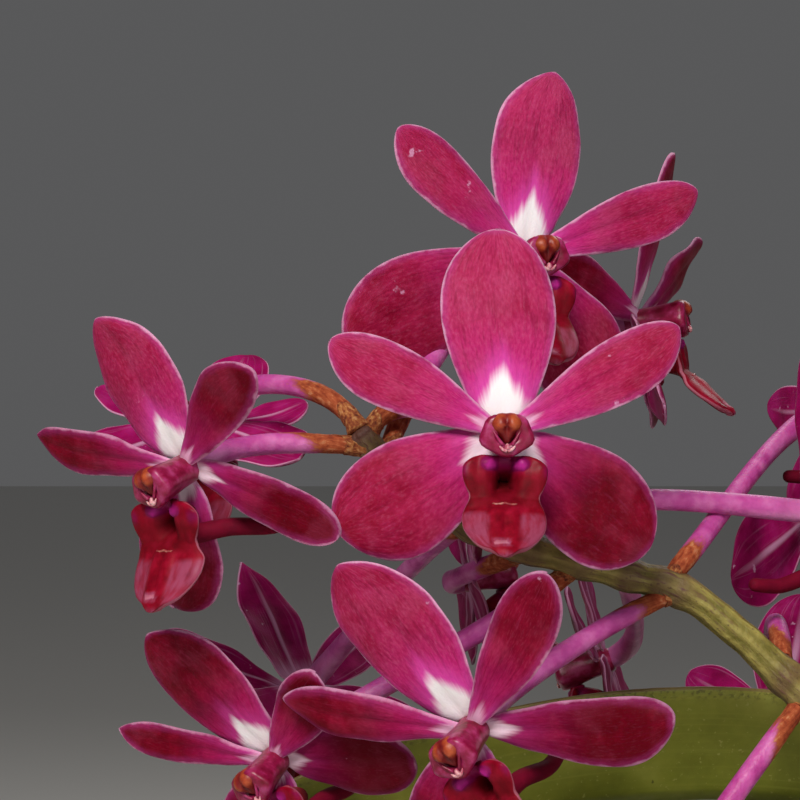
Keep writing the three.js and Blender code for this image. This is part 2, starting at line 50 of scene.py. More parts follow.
# The raceme's own frame: x right, y away from the camera, z up, the front flower at y = 0
RACEME = Vector((-85, -32, 182))
CAMERA_BACK = 300
camera = bpy.data.objects.new("camera", bpy.data.cameras.new("camera"))
camera.location = (RACEME - Vector((0, CAMERA_BACK, 0))) * MM
camera.rotation_euler = (math.radians(90), 0, 0)
camera.data.lens = 135
camera.data.sensor_width = 36
camera.data.clip_start = 0.01
bpy.context.scene.collection.objects.link(camera)
bpy.context.scene.camera = camera

# The plant's sizes, as in the part's source

POT = {
    "height": 92, "base": 36, "shoulder": 45.5, "shoulder_height": 70, "band": 49.5, "rim": 52,
    "wall": 5, "floor": 8, "holes": 3, "hole": 5.5, "hole_circle": 19, "hole_turn": 0.5,
}
BARK_TOP = 76
CHIP = {"count": 96, "spread": 40, "length": 13, "width": 8}
PEDICEL = {"radius": 1.1, "ovary_radius": 1.26, "foot_slimmer": 0.2}
STEM = {
    "foot": 66, "foot_top": 94, "sheath": 24, "foot_radius": 4.8, "mouth_radius": 6.2, "reach": 6,
    "flatness": 0.82,
}

# side, height where the blade leaves its sheath, length, slope at base and tip, turn, half width
LEAVES = {
    "leaf_left_1": (-1, 99, 118, 14, -62, 12, 16),
    "leaf_right_1": (1, 107, 132, 20, -60, -10, 16),
    "leaf_left_2": (-1, 116, 138, 12, -60, 5, 16),
    "leaf_right_2": (1, 125, 146, 34, -56, 6, 16),
    "leaf_left_3": (-1, 128.5, 155, 25, -58, 0, 16),
    "leaf_right_3": (1, 142, 138, 50, -40, -6, 16),
    "leaf_left_4": (-1, 151, 60, 84, 74, 0, 7),
    "leaf_right_4": (1, 158, 96, 66, 20, 4, 12),
}
LEAF = {"thickness": 1.5, "base_fold": 72, "fold": 54, "keel": 0.05, "lobe": 5, "notch": 5}
# Degrees that a blade has turned about its own line, towards the light
LEAF_ROLL = {"leaf_left_3": 8, "leaf_right_3": -5, "leaf_left_1": 4, "leaf_right_2": -4, "leaf_left_2": -5}

# radius and the points that each root passes
ROOTS = {
    "root_1": (2.4, [(0, 0, 96), (-12, -9, 96), (-24, -19, 88), (-30, -25, 74)]),
    "root_2": (2.2, [(0, 0, 90), (10, -10, 90), (22, -16, 84), (27, -19, 70)]),
    "root_3": (2.5, [(0, 0, 94), (12, 10, 97), (30, 24, 96), (46, 37, 93), (53, 43, 76), (50, 42, 56)]),
    "root_4": (2.2, [(0, 0, 88), (-10, 10, 88), (-21, 18, 82), (-26, 22, 70)]),
    "root_5": (2.3, [(0, 0, 100), (4, -13, 101), (10, -32, 98), (16, -50, 96), (19, -59, 84), (17, -60, 62)]),
}
ROOT_HANGS_BELOW = 65

# The flower stalk's line in the raceme's own frame
STALK = [
    (84, 27, -68), (80, 17, -62.5), (71, 13, -54), (56, 11, -42), (41.6, 12, -30.2), (35.4, 12, -24.4),
    (29.1, 12, -19.8), (19.8, 12, -17.3), (7.3, 12, -13.3), (-1.6, 12, -6.4), (-4.5, 12, -3),
]

# Tepals of one flower seen from its front: x right, y up, z towards the viewer. flare is how
# far its white base reaches, and tone runs from dusty rose to deep crimson
TEPAL = {
    "root": 0.6, "widest": 0.62, "lift": 4, "curl": -9, "cup": -0.1, "sway": 0, "twist": 0, "tone": 0,
    "point": 0.2, "skew": 0,
}
# The narrow heel that a tepal is set on: its half width, and the length that it adds
HEEL = {"half": 0.8, "reach": 1.2}
PETAL = {
    **TEPAL, "length": 18, "half": 3.3, "base": 0.9, "set": 0.4, "widest": 0.66, "flare": 0.5,
    "tone": 0.1, "point": 0.35,
}
SEPAL = {**TEPAL, "length": 17.5, "half": 5.8, "base": 2, "set": -0.6, "flare": 0.72}
TEPALS = {
    "dorsal": {
        **TEPAL, "angle": 0, "length": 18.6, "half": 5.7, "base": 2.6, "set": -0.6, "widest": 0.58,
        "flare": 1,
    },
    "petal_left": {**PETAL, "angle": -62, "skew": 0.5},
    "petal_right": {**PETAL, "angle": 62, "skew": -0.5},
    "sepal_left": {**SEPAL, "angle": -123, "tone": 0.3},
    "sepal_right": {**SEPAL, "angle": 123, "tone": 0.35},
}

# Each flower: its place, the way it faces (yaw, pitch, roll), its size, its place along the
# stalk, the way its pedicel sets out, its tone, and what sets its tepals and lip apart
FLOWERS = [
    {
        "at": (10.4, 0, -3.4), "faces": (1, 3, -1), "size": 1, "stalk": 9.6, "out": (2, 4, 8), "tone": 0,
        "lip_sway": -3,
        "dorsal": {"angle": -1, "length": 18.9, "half": 5.8},
        "petal_right": {"angle": 62.5, "length": 18.8, "skew": -0.9, "tone": 0.22},
        "sepal_left": {"angle": -121.5, "skew": 0.8, "tone": 0.35},
        "sepal_right": {"angle": 130, "length": 16.8, "half": 5.6, "tone": 0.8},
    },
    {
        "at": (13.6, 25, 15.6), "faces": (22, 2, -2), "size": 1, "stalk": 9, "out": (2, 8, 8), "tone": 0.05,
        "lip_sway": -8, "spur_lean": -2.4,
        "dorsal": {"angle": 11, "length": 18.9, "half": 5.3, "point": 0.6, "skew": 0.8, "tone": -0.2},
        "petal_left": {"angle": -48, "length": 18.2},
        "petal_right": {"angle": 73.5, "length": 20.5, "half": 3.2},
        "sepal_left": {"angle": -112.5, "length": 21}, "sepal_right": {"angle": 150},
    },
    {
        "at": (-22, 5, -6.8), "faces": (-40, -20, -14), "size": 0.97, "stalk": 9.4, "out": (-9, 0, 1),
        "tone": 0.15, "lip_sway": -12, "lip_broad": 1.16, "spur_lean": 6,
        "dorsal": {"angle": -8, "length": 16.4, "widest": 0.52, "point": 0.7, "skew": -1.2},
        "petal_left": {"angle": -69, "length": 19.4, "half": 2.6, "tone": 0.6, "point": 0.8, "skew": 0.9},
        "petal_right": {"angle": 61, "length": 15.6, "tone": 0.65, "point": 0.6, "skew": 1.5},
        "sepal_left": {"angle": -142, "length": 16.5, "tone": 0.5},
        "sepal_right": {
            "angle": 121, "length": 18.5, "half": 2.7, "base": 1.4, "widest": 0.68, "sway": 10, "twist": 28,
            "tone": 0.75,
        },
    },
    {
        "at": (7, -3, -32.6), "faces": (-25, -24, -28), "size": 1, "stalk": 6, "out": (-8, -2, -3),
        "tone": 0.1, "spur_lean": 1.4,
        "dorsal": {"angle": -2.5, "length": 19.2, "point": 0.5, "skew": -0.9},
        "petal_left": {"angle": -57, "length": 18.5, "half": 2.8, "tone": 0.6, "point": 0.6, "skew": 0.9},
        "petal_right": {"length": 19.2, "tone": 0.5},
        "sepal_left": {"angle": -135, "tone": 0.6},
        "sepal_right": {
            "angle": 117, "length": 19.5, "half": 3.5, "base": 1.3, "widest": 0.7, "twist": 24, "skew": -1.2,
            "tone": 0.85,
        },
    },
    {
        "at": (-13.2, 12, -37.3), "faces": (-30, -28, -32), "size": 0.94, "stalk": 7.1, "out": (-6, 2, -6),
        "tone": 0.65, "spur_lean": 1,
        "dorsal": {"angle": -4.5, "length": 17.8, "point": 0.6, "skew": -1.2},
        "petal_left": {"angle": -51, "length": 18.2, "half": 2.1, "twist": -28, "point": 0.9},
        "petal_right": {"angle": 72, "length": 13}, "sepal_left": {"angle": -128, "length": 14, "lift": 14},
        "sepal_right": {"angle": 122, "length": 16, "half": 4.5},
    },
    {
        "at": (-11.9, 56, -34.9), "faces": (-140, -36, 0), "size": 0.95, "stalk": 8, "out": (-2, 8, 2),
        "tone": 0.5, "dorsal": {"length": 17.5, "half": 4.2, "widest": 0.48, "point": 1.4, "skew": 1.2},
        "sepal_right": {"length": 13},
    },
    {
        "at": (27.2, 43, 9.1), "faces": (78, 6, 0), "size": 0.97, "stalk": 8.5, "out": (3, 8, 4), "tone": 0.6,
        "lip_veil": 0.2,
        "dorsal": {"lift": 25}, "petal_left": {"lift": -26, "length": 15, "twist": 35},
        "petal_right": {"lift": 22, "twist": -35},
        "sepal_left": {"lift": 18},
    },
    {
        "at": (45.3, 22, -12), "faces": (115, -4, 0), "size": 0.95, "stalk": 7.6, "out": (3, 1, 8),
        "tone": 0.5, "petal_right": {"length": 14, "lift": 26},
        "sepal_right": {"angle": 117, "point": 0.9},
    },
    {
        "at": (50.2, 45, -1.4), "faces": (108, 0, 28), "size": 0.95, "stalk": 6.2, "out": (5, -1, 5),
        "tone": 0.6, "dorsal": {"lift": 14},
    },
    {
        "at": (24, 58, -31), "faces": (-98, -16, 0), "size": 0.95, "stalk": 6.6, "out": (-1, 9, 1),
        "tone": 0.7, "sepal_right": {"length": 14.4},
    },
    {
        "at": (46, 60, -39), "faces": (160, -42, 0), "size": 0.95, "stalk": 4.2, "out": (0, 16, 13),
        "tone": 0.6, "petal_right": {"length": 14},
    },
    {"at": (22, -4, -59), "faces": (10, -16, 6), "size": 1, "stalk": 3.95, "out": (-6, -6, -7), "tone": 0.4},
    {
        "at": (8, 30, -19.5), "faces": (96, 11, 1), "size": 0.81, "stalk": 7.5, "out": (-1, 8, -1),
        "tone": 0.6, "dorsal": {"twist": 40}, "petal_left": {"twist": 30}, "petal_right": {"twist": -30},
    },
    {"at": (64, -2, -27), "faces": (40, -8, 0), "size": 1, "stalk": 3.3, "out": (3, -4, 5), "tone": 0.35},
    {
        "at": (-20.4, 27, -3), "faces": (166, -60, 0), "size": 0.85, "stalk": 9.9, "out": (-3, 3, 7),
        "tone": 0.5, "dorsal": {"length": 15.8, "half": 4.8}, "petal_left": {"length": 11},
        "petal_right": {"length": 20}, "sepal_left": {"length": 14.8, "half": 5},
    },
]


def mix(low, high, share):
    return low + (high - low) * share


def ease(share):
    share = min(1, max(0, share))
    return share * share * (3 - 2 * share)


def bell(distance, reach):
    return math.exp(-((distance / reach) ** 2))


# Drawing aids

# What the finishes know of a vertex: its place across and along its blade from 0 at the
# middle or foot, its distance from the edge in millimetres, and how pale or deep it is
MARKS = ("across", "along", "edge", "flare", "tone", "pale")
# How suddenly a blade's thickness ends at its tip
TIP_BLUNT = 40


def drawing():
    bm = bmesh.new()
    for name in MARKS:
        bm.verts.layers.float.new(name)
    return bm


def move(bm, vert, point, marks):
    vert.co = point
    for name, value in marks.items():
        vert[bm.verts.layers.float[name]] = value


def grid(bm, columns, rows, slot):
    """A flat grid from -1 to 1 both ways, with its faces in a material slot."""
    verts = bmesh.ops.create_grid(bm, x_segments=columns, y_segments=rows, size=1)["verts"]
    faces = list({face for vert in verts for face in vert.link_faces})
    for face in faces:
        face.material_index = slot
        face.smooth = True
    return verts, faces


def blade(bm, place, thickness, columns, rows, back=0, blunt=8, foot=0.02):
    """A thin blade: two grids bent alike by place(across, along), with across from -1 to 1,
    set a thickness apart that runs out to nothing at the border, where they join."""
    for side, slot in ((0.5, 0), (-0.5, back)):
        verts, faces = grid(bm, columns, rows, slot)
        for vert in verts:
            across = math.sin(vert.co.x * math.pi / 2)
            along = math.sin((vert.co.y + 1) * math.pi / 4)
            point, normal, marks = place(across, along)
            full = math.sqrt(max(0, 1 - abs(across) ** blunt) * max(0, 1 - along ** TIP_BLUNT))
            full *= math.sqrt(min(1, along / foot))
            point = point + normal * (side * thickness * full)
            move(bm, vert, point, {"across": across, "along": along, **marks})
        if side < 0:
            bmesh.ops.reverse_faces(bm, faces=faces)


def tube(bm, frames, place, sides, slot=0):
    """A closed tube: place(turn, along) gives its distance from the line to the side and up,
    and its marks. A distance of nothing at either end closes it."""
    steps = len(frames) - 1
    verts, _ = grid(bm, sides, steps, slot)
    for vert in verts:
        turn = (vert.co.x + 1) * math.pi
        along = (vert.co.y + 1) / 2
        middle, side, up = frames[round(along * steps)]
        aside, above, marks = place(turn, along)
        move(bm, vert, middle + side * aside + up * above, {"along": along, **marks})


def frames_along(points):
    """Each point of a line with two directions square to it, which turn as little as they can."""
    frames = []
    side = None
    for i, point in enumerate(points):
        ahead = (points[min(i + 1, len(points) - 1)] - points[max(i - 1, 0)]).normalized()
        side = side or ahead.orthogonal()
        side = (side - ahead * side.dot(ahead)).normalized()
        frames.append((point, side, ahead.cross(side)))
    return frames


def spaced(steps, ends=0.5):
    """Shares from 0 to 1 that lie closer together towards both ends."""
    even = [i / steps for i in range(steps + 1)]
    return [mix(t, (1 - math.cos(math.pi * t)) / 2, ends) for t in even]


def through(points, share):
    """The point at a share of the way along a smooth line, even in its count of points."""
    last = len(points) - 1
    place = share * last
    index = min(int(place), last - 1)
    p1, p2 = Vector(points[index]), Vector(points[index + 1])
    p0 = Vector(points[index - 1]) if index > 0 else p1 * 2 - p2
    p3 = Vector(points[index + 2]) if index + 2 <= last else p2 * 2 - p1
    d0, d1, d2 = (max(1e-4, (b - a).length) ** 0.5 for a, b in ((p0, p1), (p1, p2), (p2, p3)))
    t1 = ((p1 - p0) / d0 - (p2 - p0) / (d0 + d1) + (p2 - p1) / d1) * d1
    t2 = ((p2 - p1) / d1 - (p3 - p1) / (d1 + d2) + (p3 - p2) / d2) * d1
    t = place - index
    squared, cubed = p2 * 3 - p1 * 3 - t1 * 2 - t2, p1 * 2 - p2 * 2 + t1 + t2
    return p1 + t1 * t + squared * t ** 2 + cubed * t ** 3


def rounded(along, reach):
    """A share that grows from nothing at each end of a tube to 1, as a dome does."""
    near = min(1, along / reach, (1 - along) / reach)
    return math.sqrt(max(0, 1 - (1 - near) ** 2))


def rod(bm, points, radius_at, sides, slot=0, marks=None):
    """A round rod along a line of points, with radius_at(turn, along)."""
    def place(turn, along):
        radius = radius_at(turn, along)
        return radius * math.cos(turn), radius * math.sin(turn), marks or {}
    tube(bm, frames_along(points), place, sides, slot)


def piece(name, bm, materials, nodes):
    """A finished drawing as an object in metres that stands for its CAD nodes."""
    bmesh.ops.remove_doubles(bm, verts=bm.verts, dist=WELD)
    bm.transform(Matrix.Scale(MM, 4))
    mesh = bpy.data.meshes.new(name)
    bm.to_mesh(mesh)
    bm.free()
    for material in materials:
        mesh.materials.append(material)
    obj = bpy.data.objects.new(name, mesh)
    bpy.context.scene.collection.objects.link(obj)
    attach(obj, "root")
    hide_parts(*nodes)
    return obj


# The finishes

# Settings that many nodes share
SMOOTH = {"interpolation_type": "SMOOTHSTEP"}
COLOURS = {"data_type": "RGBA"}


def colour(text):
    """An sRGB hex colour as linear light."""
    parts = [int(text[i:i + 2], 16) / 255 for i in (1, 3, 5)]
    return (*[c / 12.92 if c <= 0.04045 else ((c + 0.055) / 1.055) ** 2.4 for c in parts], 1)


def add(tree, kind, *values, named=None, out=0, stops=None, **settings):
    """Adds a node with its settings, then its values and links, in the order of its open
    sockets or by name, and its colour stops. Gives one of its outputs."""
    node = tree.nodes.new("ShaderNode" + kind)
    for name, value in settings.items():
        setattr(node, name, value)
    pairs = list(zip([socket for socket in node.inputs if socket.enabled], values))
    pairs += [(node.inputs[name], value) for name, value in (named or {}).items()]
    for socket, value in pairs:
        if isinstance(value, bpy.types.NodeSocket):
            tree.links.new(value, socket)
        else:
            socket.default_value = colour(value) if isinstance(value, str) else value
    if stops:
        elements = node.color_ramp.elements
        while len(elements) < len(stops):
            elements.new(0.5)
        for element, (place, shade) in zip(elements, stops):
            element.position, element.color = place, colour(shade)
    if isinstance(out, str):
        return node.outputs[out]
    shown = [socket for socket in node.outputs if socket.enabled]
    return shown[out] if shown else node


def finish(name, dress, *looks):
    """A material of that name, whose shader dress(tree, *looks) makes."""
    material = bpy.data.materials.new(name)
    material.use_nodes = True
    tree = material.node_tree
    tree.nodes.clear()
    add(tree, "OutputMaterial", dress(tree, *looks))
    return material


def speckle(tree, size_mm, stretch=(1, 1, 1), detail=3.0, roughness=0.55, seed=0.0):
    """A noise in the piece's own space, with blobs of a size in millimetres."""
    where = add(tree, "TexCoord", out="Object")
    where = add(tree, "Mapping", where, named={"Location": (seed / 50,) * 3, "Scale": stretch})
    size = {"Scale": 1 / (size_mm * MM), "Detail": detail, "Roughness": roughness}
    return add(tree, "TexNoise", where, named=size)


def streaks(tree, count, runs, spread=0.0, detail=3.0):
    """A noise drawn out along a blade: so many bands across it, so many changes along it."""
    across = add(tree, "Attribute", attribute_name="across", out="Fac")
    along = add(tree, "Attribute", attribute_name="along", out="Fac")
    across = add(tree, "Math", across, float(count), operation="MULTIPLY")
    along = add(tree, "Math", along, float(runs), operation="MULTIPLY")
    where = add(tree, "CombineXYZ", across, along)
    shift = add(tree, "TexCoord", out="Object")
    where = add(tree, "VectorMath", shift, (spread,) * 3, where, operation="MULTIPLY_ADD")
    return add(tree, "TexNoise", where, named={"Scale": 1.0, "Detail": detail})


def skin_cells(tree):
    """Domed skin cells, drawn at 0.25 mm, as real ones are too fine to show."""
    where = add(tree, "TexCoord", out="Object")
    return add(tree, "TexVoronoi", where, named={"Scale": 1 / (0.25 * MM)})


# The face of a fresh orchid tepal: a waxy skin over sap-filled cells, which scatters light
# softly, deepens from dusty rose to crimson and glitters faintly from cell to cell
def tepal_face(tree):
    across, along, edge, flare, tone = (
        add(tree, "Attribute", attribute_name=mark, out="Fac")
        for mark in ("across", "along", "edge", "flare", "tone")
    )
    side = add(tree, "Math", across, operation="ABSOLUTE")
    vein = streaks(tree, 14, 6, 60)
    cloud = speckle(tree, 2.8, detail=5, roughness=0.6)
    deeper = add(tree, "Math", cloud, 1.0, tone, operation="MULTIPLY_ADD")
    deeper = add(tree, "Math", along, 0.22, deeper, operation="MULTIPLY_ADD")
    deeper = add(tree, "Math", deeper, 0.56, operation="SUBTRACT")
    flesh = add(
        tree, "ValToRGB", deeper,
        stops=[(0.0, "#b42c60"), (0.3, "#a41c49"), (0.6, "#8a0a2c"), (0.85, "#6c0218"), (1.0, "#5a010f")],
    )
    # The flesh turns magenta towards the foot, most in a pale tepal, and mauve by the margin
    foot = add(tree, "MapRange", along, 0.62, 0.2, 0.0, 0.85, **SMOOTH)
    light = add(tree, "MapRange", tone, 0.0, 1.0, 1.0, 0.35)
    foot = add(tree, "Math", foot, light, operation="MULTIPLY")
    rosy = add(tree, "Mix", foot, flesh, "#c4247a", **COLOURS)
    # Painted sheen: soft pale rose patches, strongest on the paler tepals, stand in for a broad sheen of
    # light
    painted_sheen = speckle(tree, 4.5, seed=41)
    painted_sheen = add(tree, "MapRange", painted_sheen, 0.46, 0.66, 0.0, 0.3, **SMOOTH)
    painted_sheen = add(tree, "Math", painted_sheen, light, operation="MULTIPLY")
    rosy = add(tree, "Mix", painted_sheen, rosy, "#b0486a", **COLOURS)
    ragged = add(tree, "Math", speckle(tree, 1.6, seed=3), 0.7, edge, operation="MULTIPLY_ADD")
    margin = add(tree, "MapRange", ragged, 1.5, 0.45, 0.0, 0.5, **SMOOTH)
    mauve = add(tree, "Mix", light, "#8e205e", "#b2428c", **COLOURS)
    rosy = add(tree, "Mix", margin, rosy, mauve, **COLOURS)
    # A mottle drawn out along the fine veins
    dark = add(tree, "MapRange", vein, 0.5, 0.32, 0.0, 0.3, **SMOOTH)
    veined = add(tree, "Mix", dark, rosy, "#60041e", **COLOURS)
    pale = add(tree, "MapRange", vein, 0.56, 0.78, 0.0, 0.2, **SMOOTH)
    pale = add(tree, "Math", pale, light, operation="MULTIPLY")
    veined = add(tree, "Mix", pale, veined, "#c04a80", **COLOURS)
    grain = streaks(tree, 20, 34, 160, 4)
    pitted = add(tree, "MapRange", grain, 0.52, 0.34, 0.0, 0.22, **SMOOTH)
    veined = add(tree, "Mix", pitted, veined, "#6e0426", **COLOURS)
    dusted = add(tree, "MapRange", grain, 0.48, 0.76, 0.0, 0.26, **SMOOTH)
    dusted = add(tree, "Math", dusted, add(tree, "MapRange", tone, 0.1, 0.7, 1.0, 0.2), operation="MULTIPLY")
    veined = add(tree, "Mix", dusted, veined, "#c8648a", **COLOURS)
    # White flares out from the foot in feathered tongues, through a bright magenta glow,
    # which leaves the middle of a narrow petal deep magenta
    peak = add(tree, "Math", 1.0, side, operation="SUBTRACT")
    peak = add(tree, "Math", peak, 1.5, operation="POWER")
    reach = add(tree, "Math", peak, 0.23, 0.06, operation="MULTIPLY_ADD")
    reach = add(tree, "Math", reach, flare, operation="MULTIPLY")
    feather = add(tree, "Math", streaks(tree, 6, 1.2, 25), 0.14, along, operation="MULTIPLY_ADD")
    past = add(tree, "Math", feather, reach, operation="SUBTRACT")
    glow = add(tree, "MapRange", past, 0.3, 0.06, 0.0, 0.85, **SMOOTH)
    glow = add(tree, "Math", glow, light, operation="MULTIPLY")
    whiter = add(tree, "MapRange", flare, 0.5, 0.95, **SMOOTH)
    beside = add(tree, "MapRange", side, 0.25, 0.7, 0.25, 1.0, **SMOOTH)
    beside = add(tree, "Math", beside, whiter, operation="MAXIMUM")
    glow = add(tree, "Math", glow, beside, operation="MULTIPLY")
    glowing = add(tree, "Mix", glow, veined, "#e452b8", **COLOURS)
    pale = add(tree, "Mix", whiter, "#eab0d2", "#fdf8fb", **COLOURS)
    core = add(tree, "MapRange", past, 0.14, 0.04, **SMOOTH)
    flared = add(tree, "Mix", core, glowing, pale, **COLOURS)
    # A thin pale rim, broken here and there, with a few pale wisps
    rim = add(tree, "MapRange", ragged, 0.66, 0.34, 0.0, 0.9, **SMOOTH)
    fainter = add(tree, "MapRange", tone, 0.0, 1.0, 1.0, 0.55)
    rim = add(tree, "Math", rim, fainter, operation="MULTIPLY")
    rimmed = add(tree, "Mix", rim, flared, "#dba2c4", **COLOURS)
    wisp = speckle(tree, 2.4, detail=6, seed=11)
    wisp = add(tree, "MapRange", wisp, 0.7, 0.76, 0.0, 0.7, **SMOOTH)
    coated = add(tree, "Mix", wisp, rimmed, "#dba0c6", **COLOURS)
    cells = skin_cells(tree)
    glints = add(tree, "MapRange", cells, 0.06, 0.0, 0.0, 0.22)
    face = add(tree, "Mix", glints, coated, "#e488b0", **COLOURS)
    relief = add(tree, "Math", vein, 1.2, cells, operation="MULTIPLY_ADD")
    normal = add(tree, "Bump", 0.3, 0.06 * MM, named={"Height": relief})
    gloss = add(tree, "MapRange", speckle(tree, 1.1, seed=5), 0.3, 0.7, 0.42, 0.58)
    return add(tree, "BsdfPrincipled", named={
        "Base Color": face, "Roughness": gloss, "IOR": 1.36, "Specular IOR Level": 0.09, "Normal": normal,
        "Subsurface Weight": 0.08, "Subsurface Scale": 0.0005,
        "Sheen Weight": 0.01, "Sheen Roughness": 0.45, "Sheen Tint": "#ffc8dc",
    })


# The back of the tepal: the same skin, more mauve, with a pale midrib and pale veins by it
def tepal_back(tree):
    across, along, edge = (
        add(tree, "Attribute", attribute_name=mark, out="Fac") for mark in ("across", "along", "edge")
    )
    side = add(tree, "Math", across, operation="ABSOLUTE")
    flesh = add(
        tree, "ValToRGB", speckle(tree, 3.5, detail=4, seed=7),
        stops=[(0.25, "#74003c"), (0.5, "#980c58"), (0.75, "#ac2474")],
    )
    vein = streaks(tree, 11, 1.4, 30)
    pale = add(tree, "MapRange", vein, 0.56, 0.74, 0.0, 0.3, **SMOOTH)
    veined = add(tree, "Mix", pale, flesh, "#c47eae", **COLOURS)
    midrib = add(tree, "MapRange", side, 0.12, 0.02, 0.0, 0.8, **SMOOTH)
    fading = add(tree, "MapRange", along, 0.95, 0.5)
    midrib = add(tree, "Math", midrib, fading, operation="MULTIPLY")
    ribbed = add(tree, "Mix", midrib, veined, "#d29cc0", **COLOURS)
    foot = add(tree, "Math", vein, 0.2, along, operation="MULTIPLY_ADD")
    foot = add(tree, "MapRange", foot, 0.34, 0.16, 0.0, 0.8, **SMOOTH)
    footed = add(tree, "Mix", foot, ribbed, "#d8a6ca", **COLOURS)
    rim = add(tree, "MapRange", edge, 0.2, 0.04, 0.0, 0.9, **SMOOTH)
    rimmed = add(tree, "Mix", rim, footed, "#d79cc0", **COLOURS)
    scars = speckle(tree, 1.6, detail=5, seed=33)
    scars = add(tree, "MapRange", scars, 0.66, 0.72, 0.0, 0.75, **SMOOTH)
    face = add(tree, "Mix", scars, rimmed, "#dcaace", **COLOURS)
    cells = skin_cells(tree)
    relief = add(tree, "Math", vein, cells, operation="ADD")
    normal = add(tree, "Bump", 0.3, 0.06 * MM, named={"Height": relief})
    return add(tree, "BsdfPrincipled", named={
        "Base Color": face, "Roughness": 0.5, "IOR": 1.36, "Specular IOR Level": 0.09, "Normal": normal,
        "Subsurface Weight": 0.08, "Subsurface Scale": 0.0005,
        "Sheen Weight": 0.01, "Sheen Roughness": 0.45, "Sheen Tint": "#ffc8dc",
    })


# The column's skin: glossy flesh, dark crimson mottled with mauve, painted near black in its hollow as shade
def column_flesh(tree):
    pale = add(tree, "Attribute", attribute_name="pale", out="Fac")
    cloud = speckle(tree, 1.2, seed=2)
    flesh = add(tree, "ValToRGB", cloud, stops=[(0.3, "#6a0620"), (0.5, "#8e1442"), (0.7, "#ae3c72")])
    # Painted shade: the deeper into the stigma's hollow, the nearer the flesh goes to black
    hollow = add(tree, "MapRange", pale, -0.1, -0.9, **SMOOTH)
    face = add(tree, "Mix", hollow, flesh, "#3a0309", **COLOURS)
    normal = add(tree, "Bump", 0.4, 0.1 * MM, named={"Height": cloud})
    return add(tree, "BsdfPrincipled", named={
        "Base Color": face, "Roughness": 0.32, "IOR": 1.4, "Normal": normal,
        "Subsurface Weight": 0.1, "Subsurface Scale": 0.0006,
    })


# The anther cap: a dry waxy hood, rust on its two lobes and dark red in its seam
def anther_hood(tree):
    pale = add(tree, "Attribute", attribute_name="pale", out="Fac")
    cloud = add(tree, "Math", pale, 0.42, speckle(tree, 0.9, seed=4), operation="MULTIPLY_ADD")
    hood = add(
        tree, "ValToRGB", cloud,
        stops=[(0.35, "#6c0a0e"), (0.55, "#801e1c"), (0.78, "#9c3a1e"), (0.98, "#b2502a")],
    )
    normal = add(tree, "Bump", 0.5, 0.05 * MM, named={"Height": speckle(tree, 0.3)})
    return add(tree, "BsdfPrincipled", named={
        "Base Color": hood, "Roughness": 0.42, "IOR": 1.42, "Normal": normal,
        "Subsurface Weight": 0.08, "Subsurface Scale": 0.0005,
    })


# The beak below the anther: a thin pale pink membrane
def beak_membrane(tree):
    shade = add(tree, "ValToRGB", speckle(tree, 0.5, seed=6), stops=[(0.35, "#b8506a"), (0.62, "#eab4b8")])
    return add(tree, "BsdfPrincipled", named={
        "Base Color": shade, "Roughness": 0.35, "IOR": 1.4,
        "Subsurface Weight": 0.2, "Subsurface Scale": 0.0005,
    })


# The lip: thick wet-looking flesh, dark wine red, paler and veined where pale is marked
def lip_flesh(tree):
    pale, edge, tone = (
        add(tree, "Attribute", attribute_name=mark, out="Fac") for mark in ("pale", "edge", "tone")
    )
    cloud = speckle(tree, 1.4, seed=8)
    flesh = add(tree, "ValToRGB", cloud, stops=[(0.3, "#680416"), (0.5, "#84051e"), (0.75, "#9c0e2e")])
    plum = add(tree, "MapRange", tone, 0.0, 1.0, 0.0, 0.9, **SMOOTH)
    bright = add(tree, "MapRange", tone, 1.0, 2.0, **SMOOTH)
    bright = add(tree, "Mix", bright, "#7c1050", "#c22a98", **COLOURS)
    plummy = add(tree, "Mix", plum, flesh, bright, **COLOURS)
    network = streaks(tree, 6, 5, 240, 5)
    washed = add(tree, "MapRange", pale, 0.05, 1.0, **SMOOTH)
    traced = add(tree, "MapRange", network, 0.34, 0.64, 0.35, 1.0, **SMOOTH)
    washed = add(tree, "Math", washed, traced, operation="MULTIPLY")
    paled = add(tree, "Mix", washed, plummy, "#9c4462", **COLOURS)
    paler = add(tree, "MapRange", pale, 1.0, 1.6, 0.0, 0.8, **SMOOTH)
    paled = add(tree, "Mix", paler, paled, "#cc8096", **COLOURS)
    # Painted shade: the throat's hollow goes near black; the same mask also darkens a band over the lower
    # lobes and waist, and the spur
    throat_shade = add(tree, "MapRange", pale, -0.1, -1.0, **SMOOTH)
    darkened = add(tree, "Mix", throat_shade, paled, "#520208", **COLOURS)
    rim = add(tree, "MapRange", edge, 0.12, 0.03, 0.0, 0.5, **SMOOTH)
    face = add(tree, "Mix", rim, darkened, "#c67c92", **COLOURS)
    relief = add(tree, "Math", cloud, network, operation="ADD")
    normal = add(tree, "Bump", 0.35, 0.1 * MM, named={"Height": relief})
    gloss = add(tree, "MapRange", cloud, 0.3, 0.7, 0.34, 0.5)
    gloss = add(tree, "Math", throat_shade, 0.5, gloss, operation="MULTIPLY_ADD", use_clamp=True)
    return add(tree, "BsdfPrincipled", named={
        "Base Color": face, "Roughness": gloss, "IOR": 1.4, "Specular IOR Level": 0.14, "Normal": normal,
        "Subsurface Weight": 0.1, "Subsurface Scale": 0.0006,
    })


# The callus ridge at the lip's throat: a firm waxy fold, mottled from dark red to dusky rose
def callus_wax(tree):
    shade = add(tree, "ValToRGB", speckle(tree, 0.5, seed=9), stops=[(0.38, "#8a2630"), (0.65, "#bc7468")])
    return add(tree, "BsdfPrincipled", named={
        "Base Color": shade, "Roughness": 0.3, "IOR": 1.4,
        "Subsurface Weight": 0.15, "Subsurface Scale": 0.0005,
    })


